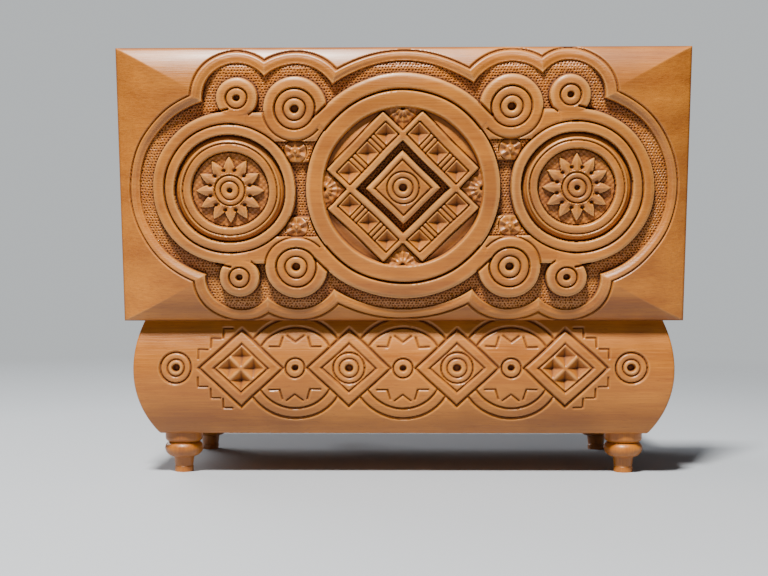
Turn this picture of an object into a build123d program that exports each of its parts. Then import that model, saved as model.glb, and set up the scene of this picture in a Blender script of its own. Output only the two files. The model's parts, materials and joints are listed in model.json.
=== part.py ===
"""Carved wooden casket with a hinged lid and a hand crank music movement.

Millimetres. +Z is up, +X is the user's right and -Y is the front, where the crank is. The origin is
on the ground under the middle of the casket. The lid is modelled open, resting past the vertical.
"""

import math
import os

from build123d import *

os.makedirs("parts", exist_ok=True)

# Body
BODY_LENGTH = 248.7
BODY_DEPTH = 115.8
BODY_BOTTOM = 19.2
RIM_Z = 79.7
BULGE_Z = 49.5
BULGE_LOWER_RADIUS = 50.0
BULGE_UPPER_RADIUS = 60.0
WALL_DEPTH = 16.0
FLOOR_THICKNESS = 5.0
RABBET = 2.5
HALF_LENGTH = BODY_LENGTH / 2
HALF_DEPTH = BODY_DEPTH / 2
INNER_X = HALF_LENGTH - WALL_DEPTH
INNER_Y = HALF_DEPTH - WALL_DEPTH
FLOOR_Z = BODY_BOTTOM + FLOOR_THICKNESS

# Feet
FOOT_X = 104.4
FOOT_Y = 38.0
FOOT_RADIUS = 9.0
STEM_RADIUS = 4.4
FOOT_DOWEL_RADIUS = 3.5
FOOT_DOWEL_LENGTH = 3.5

# Lid, in its closed place
LID_LENGTH = 256.0
LID_DEPTH = 123.0
LID_Z = 80.0
LID_EDGE = 5.0
LID_RISE = 7.0
END_BEVEL = 37.0
SIDE_BEVEL = 20.0
LID_OPEN_ANGLE = 97.9
GROUND_DROP = 2.2
GROUND_HEIGHT = 7.6
LINING_POCKET = 2.0
LINING_X = 98.0
LINING_Y = 33.0

# Carving on the lid: centres, then radii outwards from each centre
DISC_X = 77.4
BIG_VOLUTE = (48.0, 36.0)
SMALL_VOLUTE = (73.7, 40.8)
CENTRE_GROUND, CENTRE_MOULDING = 55.7, 60.5
DISC_GROUND, DISC_MOULDING = 41.1, 45.7
BIG_GROUND, BIG_MOULDING = 19.4, 25.3
SMALL_GROUND, SMALL_MOULDING = 15.3, 20.8
CENTRE_FIELD, CENTRE_RING, CENTRE_BAND = 35.6, 43.4, 50.6
DISC_EDGE, DISC_RING, DISC_BAND = 24.9, 29.5, 34.9
DISC_GROOVE, ROSETTE_RECESS, ROSETTE_TIP, ROSETTE_ROOT = 21.4, 17.3, 14.5, 9.6
ROSETTE_PETALS = 12
BOSS_RADIUS, BOSS_EYE = 6.9, 4.2
BIG_BAND, BIG_EYE, BIG_RING = 14.1, 9.1, 5.0
SMALL_BAND, SMALL_EYE = 9.1, 4.7
DIAMOND_RECESS, DIAMOND_RAISED = 14.8, 11.6
HASH_OUTER, HASH_INNER = 30.3, 17.8
STRIP_CENTRE, CHIP_SIDE, CHIP_PITCH = 22.1, 7.2, 11.8
CHIP_DEPTH, CHIP_TAPER = 1.8, 60.0
DEEP_CUT = 4.0
BAND_BREAK_Y = 28.0
LINE_WIDTH = 0.8
LINE_DEPTH = 0.8

# Carving on the boards
PATTERN_Z = 50.3
UNIT_PITCH = 49.7
DIAMOND_HALF_WIDTH, DIAMOND_HALF_HEIGHT = 18.9, 17.4
INNER_DIAMOND_WIDTH, INNER_DIAMOND_HEIGHT = 12.5, 11.4
END_RING_X = 104.7
END_RING_RADIUS = 7.3
DOT_RADIUS = 4.5
BOARD_CHIP_SIDE = 7.0
BOARD_CHIP_OFFSET = 5.7

# Hinges
HINGE_Y = 54.5
HINGE_Z = (RIM_Z + LID_Z) / 2
HINGE_X = 70.0
LEAF_LENGTH = 24.0
LEAF_THICKNESS = 1.0
LEAF_GAP = 0.1
LEAF_REACH = 11.5
KNUCKLE_RADIUS = 2.0
KNUCKLE_GAP = 0.2
KNUCKLE_CLEARANCE = 0.4
HINGE_PIN_RADIUS = 1.0
RUNNING_FIT = 0.05
SCREW_RADIUS = 1.0
SCREW_HEAD_RADIUS = 1.8
SCREW_HEAD_HEIGHT = 0.6
SCREW_LENGTH = 5.0
LEAF_SCREW_SPREAD = 8.0
LEAF_SCREW_Y = HINGE_Y - 8.5

# Movement
CRANK_X = 49.7
CRANK_Z = 50.3
MODULE = 0.8
PINION_TEETH = 12
WHEEL_TEETH = 30
BACKLASH = 0.16
PRESSURE_ANGLE = 20.0
GEAR_WIDTH = 4.0
GEAR_DROP_ANGLE = -30.0
GEAR_CENTRES = MODULE * (PINION_TEETH + WHEEL_TEETH) / 2
CYLINDER_X = CRANK_X + GEAR_CENTRES * math.cos(math.radians(GEAR_DROP_ANGLE))
CYLINDER_Z = CRANK_Z + GEAR_CENTRES * math.sin(math.radians(GEAR_DROP_ANGLE))
BEDPLATE_THICKNESS = 3.0
BED_Z = FLOOR_Z + BEDPLATE_THICKNESS
BED_X = (36.0, 102.0)
BED_Y = (-33.0, 33.0)
PLATE_THICKNESS = 2.5
FRONT_PLATE_Y = -28.0
REAR_PLATE_Y = 26.0
PLATE_MARGIN = 6.5
PLATE_LIP = 2.0
TENON_SPREAD = 6.0
TENON_WIDTH = 5.0
BED_SCREW_INSET = 8.0
BED_SCREW_RADIUS = 1.5
BED_SCREW_HEAD = 2.5
END_PLAY = 0.5
SHAFT_RADIUS = 2.0
ARBOR_RADIUS = 1.5
CYLINDER_RADIUS = 9.5
PIN_HEIGHT = 1.0
PIN_RADIUS = 0.35
NOTES_PER_TOOTH = 3
WHEEL_HOLES = 4
WHEEL_HOLE_RADIUS = 2.2
WHEEL_HOLE_CIRCLE = 6.5
COMB_TEETH = 24
COMB_PITCH = 1.7
COMB_GAP = 0.25
COMB_SLIT = 0.45
COMB_THICKNESS = 1.2
COMB_TIP_X = CYLINDER_X + CYLINDER_RADIUS + PIN_HEIGHT + COMB_GAP
COMB_ROOT_X = COMB_TIP_X + 13.0
COMB_END_X = COMB_ROOT_X + 9.0

# Crank outside the front wall
ARM_LENGTH = 22.0
ARM_WIDTH = 8.0
ARM_THICKNESS = 3.0
BUSH_RADIUS = 4.5
BUSH_FLANGE_RADIUS = 7.5
BUSH_FLANGE = 1.6
ARM_Y = -(HALF_DEPTH + BUSH_FLANGE + 0.5)
KNOB_RADIUS = 5.5
KNOB_PIN_RADIUS = 1.5
KNOB_PIN_HEAD = 2.6
KNOB_PIN_CAP = 1.2
KNOB_WAIST = 4.2

# Divider, ledges and cover of the movement compartment
DIVIDER_X = 26.0
DIVIDER_THICKNESS = 4.0
DIVIDER_TOP = 74.0
COVER_Z = 68.0
COVER_THICKNESS = 2.5
COVER_MARGIN = 0.3
COVER_SCREW_DEPTH = 4.0
LEDGE_SIZE = 5.0
LINING_THICKNESS = 1.5


def save(piece, name):
    """Label a finished sub-part and write it to its own file."""
    piece.part.label = name
    export_step(piece.part, f"parts/{name}.step")


def bulge_inset(z, extra=0.0):
    """How far the curved outer face lies inside the bulge line at a height."""
    radius = BULGE_UPPER_RADIUS if z > BULGE_Z else BULGE_LOWER_RADIUS
    radius -= extra
    return extra + radius - math.sqrt(radius**2 - (z - BULGE_Z) ** 2)


def bulge_arcs(half, extra=0.0):
    """The two arcs of the outer face, from the bottom to the rim, inside a BuildLine."""
    lower_mid = (BODY_BOTTOM + BULGE_Z) / 2
    upper_mid = (RIM_Z + BULGE_Z) / 2
    heights = (BODY_BOTTOM, lower_mid, BULGE_Z, upper_mid, RIM_Z)
    points = [(half - bulge_inset(z, extra), z) for z in heights]
    ThreePointArc(points[0], points[1], points[2])
    ThreePointArc(points[2], points[3], points[4])
    return points


def board_section(half):
    """Section of a board: curved outside, flat inside."""
    with BuildLine() as outline:
        points = bulge_arcs(half)
        inside = half - WALL_DEPTH
        Polyline(points[4], (inside, RIM_Z), (inside, BODY_BOTTOM), points[0])
    make_face(outline.edges())


def skin_section(half):
    """Section of the thin outer layer that the board carving is cut into."""
    outer_reach = half + 1.0
    with BuildLine() as outline:
        points = bulge_arcs(half, LINE_DEPTH)
        Polyline(points[4], (outer_reach, RIM_Z), (outer_reach, BODY_BOTTOM), points[0])
    make_face(outline.edges())


def ring(centre, radius, width=LINE_WIDTH):
    """A thin ring in the current sketch."""
    outer = Circle(radius + width / 2, mode=Mode.PRIVATE)
    inner = Circle(radius - width / 2, mode=Mode.PRIVATE)
    add(Pos(*centre) * (outer - inner))


def diamond_points(centre, half_width, half_height):
    """Corners of a diamond."""
    x, z = centre
    return [
        (x - half_width, z),
        (x, z + half_height),
        (x + half_width, z),
        (x, z - half_height),
    ]


def diamond_line(centre, half_width, half_height):
    """A thin diamond outline in the current sketch."""
    outer_corners = diamond_points(centre, half_width + LINE_WIDTH, half_height + LINE_WIDTH)
    inner_corners = diamond_points(centre, half_width, half_height)
    outer = Polygon(*outer_corners, align=None, mode=Mode.PRIVATE)
    inner = Polygon(*inner_corners, align=None, mode=Mode.PRIVATE)
    add(outer - inner)


def involute_gear(teeth, width_loss):
    """Outline of a spur gear with involute flanks, one tooth centred on the sketch's x axis."""
    pitch_radius = MODULE * teeth / 2
    base_radius = pitch_radius * math.cos(math.radians(PRESSURE_ANGLE))
    tip_radius = pitch_radius + MODULE
    root_radius = pitch_radius - 1.25 * MODULE
    start_radius = max(base_radius, root_radius)

    def involute_angle(radius):
        pressure = math.acos(min(1.0, base_radius / radius))
        return math.tan(pressure) - pressure

    half_tooth = math.pi / (2 * teeth) - width_loss / (2 * pitch_radius)
    half_base = half_tooth + involute_angle(pitch_radius)
    flank_steps = 6
    outline = []
    for tooth in range(teeth):
        middle = 2 * math.pi * tooth / teeth
        radii = [
            start_radius + (tip_radius - start_radius) * step / flank_steps
            for step in range(flank_steps + 1)
        ]
        flank = [(radius, half_base - involute_angle(radius)) for radius in radii]
        flank.insert(0, (root_radius, half_base))
        outline += [(radius, middle - angle) for radius, angle in flank]
        outline += [(radius, middle + angle) for radius, angle in reversed(flank)]
    return [(r * math.cos(angle), r * math.sin(angle)) for r, angle in outline]


# ---------------------------------------------------------------- carving cut into the boards


def board_pattern(dots):
    """Lines of the long boards' carving about the middle of the board, with dots at these x."""
    for x in dots:
        ring((x, PATTERN_Z), DOT_RADIUS)
    for side in (-1, 1):
        ring((side * END_RING_X, PATTERN_Z), END_RING_RADIUS)
        ring((side * END_RING_X, PATTERN_Z), END_RING_RADIUS / 2)
        for place in (0.5, 1.5):
            centre = (side * place * UNIT_PITCH, PATTERN_Z)
            diamond_line(centre, DIAMOND_HALF_WIDTH, DIAMOND_HALF_HEIGHT)
            diamond_line(centre, INNER_DIAMOND_WIDTH, INNER_DIAMOND_HEIGHT)
        ring((side * UNIT_PITCH / 2, PATTERN_Z), DOT_RADIUS)


def chip_cuts(centre):
    """Four sunk pyramids in a diamond, cut from a vertical sketch plane inwards."""
    for across, up in ((1, 0), (-1, 0), (0, 1), (0, -1)):
        with Locations(
            (centre[0] + across * BOARD_CHIP_OFFSET, centre[1] + up * BOARD_CHIP_OFFSET)
        ):
            Rectangle(BOARD_CHIP_SIDE, BOARD_CHIP_SIDE, rotation=45)


with BuildPart() as long_carving:
    with BuildSketch(Plane.XZ.offset(-HALF_DEPTH - 2)):
        board_pattern(dots=(-UNIT_PITCH, 0, UNIT_PITCH))
    extrude(amount=WALL_DEPTH)
    with BuildSketch(Plane.YZ):
        skin_section(HALF_DEPTH)
    extrude(amount=HALF_LENGTH, both=True, mode=Mode.INTERSECT)

with BuildPart() as front_carving:
    with BuildSketch(Plane.XZ.offset(-HALF_DEPTH - 2)):
        board_pattern(dots=(0, UNIT_PITCH))
    extrude(amount=WALL_DEPTH)
    with BuildSketch(Plane.YZ):
        skin_section(HALF_DEPTH)
    extrude(amount=HALF_LENGTH, both=True, mode=Mode.INTERSECT)

with BuildPart() as chip_carving:
    for side in (-1, 1):
        with BuildSketch(Plane.XZ.offset(-HALF_DEPTH)):
            chip_cuts((side * 1.5 * UNIT_PITCH, PATTERN_Z))
        extrude(amount=CHIP_DEPTH, taper=CHIP_TAPER)

with BuildPart() as end_carving:
    with BuildSketch(Plane.XZ.offset(-HALF_LENGTH - 2)):
        diamond_line((0, PATTERN_Z), DIAMOND_HALF_WIDTH, DIAMOND_HALF_HEIGHT)
        diamond_line((0, PATTERN_Z), INNER_DIAMOND_WIDTH, INNER_DIAMOND_HEIGHT)
        ring((0, PATTERN_Z), DOT_RADIUS)
        for side in (-1, 1):
            ring((side * UNIT_PITCH * 0.7, PATTERN_Z), END_RING_RADIUS)
            ring((side * UNIT_PITCH * 0.7, PATTERN_Z), END_RING_RADIUS / 2)
    extrude(amount=WALL_DEPTH)
    with BuildSketch(Plane.YZ):
        skin_section(HALF_LENGTH)
    extrude(amount=HALF_DEPTH, both=True, mode=Mode.INTERSECT)

# ---------------------------------------------------------------- boards and bottom

MITRE_OFFSET = HALF_LENGTH - HALF_DEPTH
BACK_MITRES = [
    Plane(origin=(MITRE_OFFSET, 0, 0), z_dir=(1, -1, 0)),
    Plane(origin=(-MITRE_OFFSET, 0, 0), z_dir=(-1, -1, 0)),
]
END_MITRES = [
    Plane(origin=(MITRE_OFFSET, 0, 0), z_dir=(-1, 1, 0)),
    Plane(origin=(MITRE_OFFSET, 0, 0), z_dir=(-1, -1, 0)),
]

with BuildPart() as back_board:
    with BuildSketch(Plane.YZ):
        board_section(HALF_DEPTH)
    extrude(amount=HALF_LENGTH, both=True)
    for mitre in BACK_MITRES:
        split(bisect_by=mitre, keep=Keep.BOTTOM)
    with BuildSketch(Plane.XY.offset(BODY_BOTTOM)):
        Rectangle(2 * (INNER_X + RABBET), 2 * (INNER_Y + RABBET))
    extrude(amount=FLOOR_THICKNESS, mode=Mode.SUBTRACT)
    add(long_carving.part, mode=Mode.SUBTRACT)
    add(chip_carving.part, mode=Mode.SUBTRACT)
    with BuildSketch(Plane.XY.offset(RIM_Z)):
        with Locations((-HINGE_X, HINGE_Y - LEAF_REACH), (HINGE_X, HINGE_Y - LEAF_REACH)):
            Rectangle(LEAF_LENGTH, LEAF_REACH, align=(Align.CENTER, Align.MIN))
    extrude(amount=-(RIM_Z - HINGE_Z + LEAF_GAP + LEAF_THICKNESS), mode=Mode.SUBTRACT)
    with BuildSketch(Plane.XY.offset(RIM_Z)):
        for side in (-1, 1):
            with Locations((side * HINGE_X, LEAF_SCREW_Y)):
                with GridLocations(2 * LEAF_SCREW_SPREAD, 0, 2, 1):
                    Circle(SCREW_RADIUS)
    extrude(amount=HINGE_Z - LEAF_GAP - RIM_Z - SCREW_LENGTH, mode=Mode.SUBTRACT)
save(back_board, "back_board")

with BuildPart() as front_board:
    with BuildSketch(Plane.YZ):
        board_section(HALF_DEPTH)
    extrude(amount=HALF_LENGTH, both=True)
    for mitre in BACK_MITRES:
        split(bisect_by=mitre, keep=Keep.BOTTOM)
    with BuildSketch(Plane.XY.offset(BODY_BOTTOM)):
        Rectangle(2 * (INNER_X + RABBET), 2 * (INNER_Y + RABBET))
    extrude(amount=FLOOR_THICKNESS, mode=Mode.SUBTRACT)
    add(front_carving.part, mode=Mode.SUBTRACT)
    add(chip_carving.part, mode=Mode.SUBTRACT)
    with BuildSketch(Plane.XZ.offset(-HALF_DEPTH)):
        with Locations((-CRANK_X, CRANK_Z)):
            Circle(BUSH_RADIUS)
    extrude(amount=WALL_DEPTH, mode=Mode.SUBTRACT)
front_board.part = front_board.part.rotate(Axis.Z, 180)
save(front_board, "front_board")

with BuildPart() as end_board:
    with BuildSketch(Plane.XZ):
        board_section(HALF_LENGTH)
    extrude(amount=HALF_DEPTH, both=True)
    for mitre in END_MITRES:
        split(bisect_by=mitre, keep=Keep.BOTTOM)
    with BuildSketch(Plane.XY.offset(BODY_BOTTOM)):
        Rectangle(2 * (INNER_X + RABBET), 2 * (INNER_Y + RABBET))
    extrude(amount=FLOOR_THICKNESS, mode=Mode.SUBTRACT)
    add(end_carving.part.rotate(Axis.Z, -90), mode=Mode.SUBTRACT)
save(end_board, "right_end_board")
end_board.part = end_board.part.rotate(Axis.Z, 180)
save(end_board, "left_end_board")

with BuildPart() as bottom_panel:
    with BuildSketch(Plane.XY.offset(BODY_BOTTOM)):
        Rectangle(2 * (INNER_X + RABBET), 2 * (INNER_Y + RABBET))
    extrude(amount=FLOOR_THICKNESS)
    with BuildSketch(Plane.XY.offset(BODY_BOTTOM)):
        with GridLocations(2 * FOOT_X, 2 * FOOT_Y, 2, 2):
            Circle(FOOT_DOWEL_RADIUS)
    extrude(amount=FOOT_DOWEL_LENGTH, mode=Mode.SUBTRACT)
save(bottom_panel, "bottom_panel")

FOOT_PLACES = {
    "foot_back_left": (-FOOT_X, FOOT_Y),
    "foot_back_right": (FOOT_X, FOOT_Y),
    "foot_front_left": (-FOOT_X, -FOOT_Y),
    "foot_front_right": (FOOT_X, -FOOT_Y),
}
for foot_name, (foot_x, foot_y) in FOOT_PLACES.items():
    with BuildPart() as foot:
        with BuildSketch(Plane((foot_x, foot_y, 0), x_dir=(1, 0, 0), z_dir=(0, -1, 0))):
            with BuildLine():
                Polyline((0, 0), (STEM_RADIUS, 0), (STEM_RADIUS, 2.4), (STEM_RADIUS - 0.2, 2.8))
                Line((STEM_RADIUS - 0.2, 2.8), (STEM_RADIUS + 0.4, 7.2))
                ThreePointArc((STEM_RADIUS + 0.4, 7.2), (7.7, 8.5), (FOOT_RADIUS, 11.0))
                ThreePointArc((FOOT_RADIUS, 11.0), (8.7, 12.7), (7.6, 13.9))
                Polyline((7.6, 13.9), (7.1, 14.2), (7.6, 14.5))
                ThreePointArc((7.6, 14.5), (8.5, 15.3), (FOOT_RADIUS - 0.2, 16.6))
                Polyline(
                    (FOOT_RADIUS - 0.2, 16.6),
                    (FOOT_RADIUS - 0.2, BODY_BOTTOM),
                    (FOOT_DOWEL_RADIUS, BODY_BOTTOM),
                    (FOOT_DOWEL_RADIUS, BODY_BOTTOM + FOOT_DOWEL_LENGTH),
                    (0, BODY_BOTTOM + FOOT_DOWEL_LENGTH),
                    (0, 0),
                )
            make_face()
        revolve(axis=Axis((foot_x, foot_y, 0), (0, 0, 1)))
    save(foot, foot_name)

# ---------------------------------------------------------------- lid

HINGE_AXIS = Axis((0, HINGE_Y, HINGE_Z), (1, 0, 0))
LID_TOP = LID_Z + LID_EDGE + LID_RISE
VOLUTE_CENTRES = [(x * BIG_VOLUTE[0], y * BIG_VOLUTE[1]) for x in (-1, 1) for y in (-1, 1)]
CURL_CENTRES = [(x * SMALL_VOLUTE[0], y * SMALL_VOLUTE[1]) for x in (-1, 1) for y in (-1, 1)]
DISC_CENTRES = [(-DISC_X, 0), (DISC_X, 0)]


def opened(piece):
    """Turn a piece from the lid's closed place to the open one it is stored in."""
    piece.part = piece.part.rotate(HINGE_AXIS, -LID_OPEN_ANGLE)


def pillow_section(half, bevel, drop):
    """Section of the lid: flat below, a straight edge, and a rounded bevel up to the flat top."""
    edge = LID_Z + LID_EDGE - drop
    top = LID_TOP - drop
    with BuildLine() as outline:
        Polyline((-half, edge), (-half, LID_Z), (half, LID_Z), (half, edge))
        TangentArc((half - bevel, top), (half, edge), tangent=(1, 0))
        Line((-half + bevel, top), (half - bevel, top))
        TangentArc((-half + bevel, top), (-half, edge), tangent=(-1, 0))
    make_face(outline.edges())


def circle_union(centre, disc, big, small):
    """The scalloped outline around the lid carving, in the current sketch."""
    Circle(centre)
    with Locations(*DISC_CENTRES):
        Circle(disc)
    with Locations(*VOLUTE_CENTRES):
        Circle(big)
    with Locations(*CURL_CENTRES):
        Circle(small)


def star(tip, root, points):
    """Corners of a star about the origin."""
    radii = (tip, root)
    angles = [math.pi * step / points for step in range(2 * points)]
    return [
        (radii[step % 2] * math.cos(angle), radii[step % 2] * math.sin(angle))
        for step, angle in enumerate(angles)
    ]


pillows = []
for pillow_drop in (0.0, GROUND_DROP, LINE_DEPTH):
    with BuildPart() as pillow:
        with BuildSketch(Plane.XZ):
            pillow_section(LID_LENGTH / 2, END_BEVEL, pillow_drop)
        extrude(amount=LID_DEPTH / 2, both=True)
        with BuildSketch(Plane.YZ):
            pillow_section(LID_DEPTH / 2, SIDE_BEVEL, pillow_drop)
        extrude(amount=LID_LENGTH / 2, both=True, mode=Mode.INTERSECT)
    pillows.append(pillow.part)
lid_blank, lowered_ground, groove_floor = pillows

with BuildPart() as ground_floor:
    add(lowered_ground)
    split(bisect_by=Plane.XY.offset(LID_Z + GROUND_HEIGHT), keep=Keep.BOTTOM)

with BuildSketch() as centre_bands:
    Circle(CENTRE_BAND)
    Rectangle(2 * CENTRE_BAND, 2 * BAND_BREAK_Y, mode=Mode.SUBTRACT)

with BuildSketch() as disc_bands:
    with Locations(*DISC_CENTRES):
        Circle(DISC_BAND)
    Rectangle(2 * SMALL_VOLUTE[0], 2 * DISC_BAND, mode=Mode.SUBTRACT)

with BuildPart() as ground_cut:
    with BuildSketch(Plane.XY.offset(LID_Z + 1)):
        circle_union(CENTRE_GROUND, DISC_GROUND, BIG_GROUND, SMALL_GROUND)
        Circle(CENTRE_RING, mode=Mode.SUBTRACT)
        with Locations(*DISC_CENTRES):
            Circle(DISC_RING, mode=Mode.SUBTRACT)
        with Locations(*VOLUTE_CENTRES):
            Circle(BIG_BAND, mode=Mode.SUBTRACT)
        with Locations(*CURL_CENTRES):
            Circle(SMALL_BAND, mode=Mode.SUBTRACT)
        add(centre_bands.sketch, mode=Mode.SUBTRACT)
        add(disc_bands.sketch, mode=Mode.SUBTRACT)
    extrude(amount=LID_EDGE + LID_RISE)
    add(ground_floor.part, mode=Mode.SUBTRACT)

with BuildPart() as moulding_cut:
    with BuildSketch(Plane.XY.offset(LID_Z + 1)):
        circle_union(CENTRE_MOULDING, DISC_MOULDING, BIG_MOULDING, SMALL_MOULDING)
    extrude(amount=LID_EDGE + LID_RISE)
    with BuildSketch(Plane.XY.offset(LID_Z + 1)):
        circle_union(
            CENTRE_MOULDING - LINE_WIDTH,
            DISC_MOULDING - LINE_WIDTH,
            BIG_MOULDING - LINE_WIDTH,
            SMALL_MOULDING - LINE_WIDTH,
        )
    extrude(amount=LID_EDGE + LID_RISE, mode=Mode.SUBTRACT)
    add(groove_floor, mode=Mode.SUBTRACT)

with BuildPart() as round_cuts:
    with BuildSketch(Plane.XY.offset(LID_TOP)):
        for place in VOLUTE_CENTRES:
            ring(place, BIG_EYE)
            ring(place, BIG_RING)
        for place in CURL_CENTRES:
            ring(place, SMALL_EYE)
        for place in DISC_CENTRES:
            ring(place, DISC_GROOVE)
            ring(place, BOSS_EYE)
    extrude(amount=-2 * LINE_DEPTH)
    with BuildSketch(Plane.XY.offset(LID_TOP)):
        for place in DISC_CENTRES:
            ring(place, DISC_EDGE, 2 * LINE_WIDTH)
    extrude(amount=-DEEP_CUT)
    for place in DISC_CENTRES:
        with BuildSketch(Plane.XY.offset(LID_TOP)):
            with Locations(place):
                Circle(ROSETTE_RECESS)
                Polygon(
                    *star(ROSETTE_TIP, ROSETTE_ROOT, ROSETTE_PETALS),
                    align=None,
                    mode=Mode.SUBTRACT,
                )
            ring(place, BOSS_RADIUS)
        extrude(amount=-CHIP_DEPTH)

with BuildPart() as field_cuts:
    with BuildSketch(Plane.XY.offset(LID_TOP)):
        Circle(CENTRE_FIELD)
        Rectangle(2 * HASH_OUTER, 2 * HASH_INNER, rotation=45, mode=Mode.SUBTRACT)
        Rectangle(2 * HASH_INNER, 2 * HASH_OUTER, rotation=45, mode=Mode.SUBTRACT)
    extrude(amount=-CHIP_DEPTH)
    with BuildSketch(Plane.XY.offset(LID_TOP)):
        Rectangle(2 * DIAMOND_RECESS, 2 * DIAMOND_RECESS, rotation=45)
        Rectangle(2 * DIAMOND_RAISED, 2 * DIAMOND_RAISED, rotation=45, mode=Mode.SUBTRACT)
    extrude(amount=-DEEP_CUT)
    with BuildSketch(Plane.XY.offset(LID_TOP)):
        ring((0, 0), END_RING_RADIUS)
        ring((0, 0), DOT_RADIUS)
    extrude(amount=-LINE_DEPTH)
    for turn in range(4):
        for step in (-1, 0, 1):
            across = Vector(STRIP_CENTRE, step * CHIP_PITCH).rotate(Axis.Z, 45 + 90 * turn)
            with BuildSketch(Plane.XY.offset(LID_TOP)):
                with Locations(across):
                    Rectangle(CHIP_SIDE, CHIP_SIDE, rotation=45)
            extrude(amount=-CHIP_DEPTH, taper=CHIP_TAPER)

with BuildPart() as lid_panel:
    add(lid_blank)
    for carving in (ground_cut, moulding_cut, round_cuts, field_cuts):
        add(carving.part, mode=Mode.SUBTRACT)
    with BuildSketch(Plane.XY.offset(LID_Z)):
        Rectangle(2 * LINING_X, 2 * LINING_Y)
    extrude(amount=LINING_POCKET, mode=Mode.SUBTRACT)
    with BuildSketch(Plane.XY.offset(LID_Z)):
        with Locations((-HINGE_X, HINGE_Y - LEAF_REACH), (HINGE_X, HINGE_Y - LEAF_REACH)):
            Rectangle(LEAF_LENGTH, LEAF_REACH, align=(Align.CENTER, Align.MIN))
    extrude(amount=HINGE_Z + LEAF_GAP + LEAF_THICKNESS - LID_Z, mode=Mode.SUBTRACT)
    for side in (-1, 1):
        start = side * HINGE_X - LEAF_LENGTH / 2 - KNUCKLE_CLEARANCE
        with BuildSketch(Plane((start, HINGE_Y, HINGE_Z), x_dir=(0, 1, 0), z_dir=(1, 0, 0))):
            Circle(KNUCKLE_RADIUS + KNUCKLE_CLEARANCE)
        extrude(amount=LEAF_LENGTH + 2 * KNUCKLE_CLEARANCE, mode=Mode.SUBTRACT)
    with BuildSketch(Plane.XY.offset(LID_Z)):
        for side in (-1, 1):
            with Locations((side * HINGE_X, LEAF_SCREW_Y)):
                with GridLocations(2 * LEAF_SCREW_SPREAD, 0, 2, 1):
                    Circle(SCREW_RADIUS)
    extrude(amount=HINGE_Z + LEAF_GAP - LID_Z + SCREW_LENGTH, mode=Mode.SUBTRACT)
opened(lid_panel)
save(lid_panel, "lid_panel")
LID_REACH = lid_panel.part.bounding_box().max.Y

with BuildPart() as lid_lining:
    with BuildSketch(Plane.XY.offset(LID_Z + LINING_POCKET - LINING_THICKNESS)):
        RectangleRounded(2 * LINING_X - 0.4, 2 * LINING_Y - 0.4, radius=1)
    extrude(amount=LINING_THICKNESS)
opened(lid_lining)
save(lid_lining, "lid_lining")

# ---------------------------------------------------------------- hinges

KNUCKLE_LENGTH = (LEAF_LENGTH - 2 * KNUCKLE_GAP) / 3
KNUCKLE_PITCH = KNUCKLE_LENGTH + KNUCKLE_GAP
BODY_LEAF_TOP = HINGE_Z - LEAF_GAP
LID_LEAF_BOTTOM = HINGE_Z + LEAF_GAP
LEAF_EDGE = HINGE_Y - KNUCKLE_RADIUS - KNUCKLE_CLEARANCE
LEAF_DEPTH = LEAF_EDGE - HINGE_Y + LEAF_REACH

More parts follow.
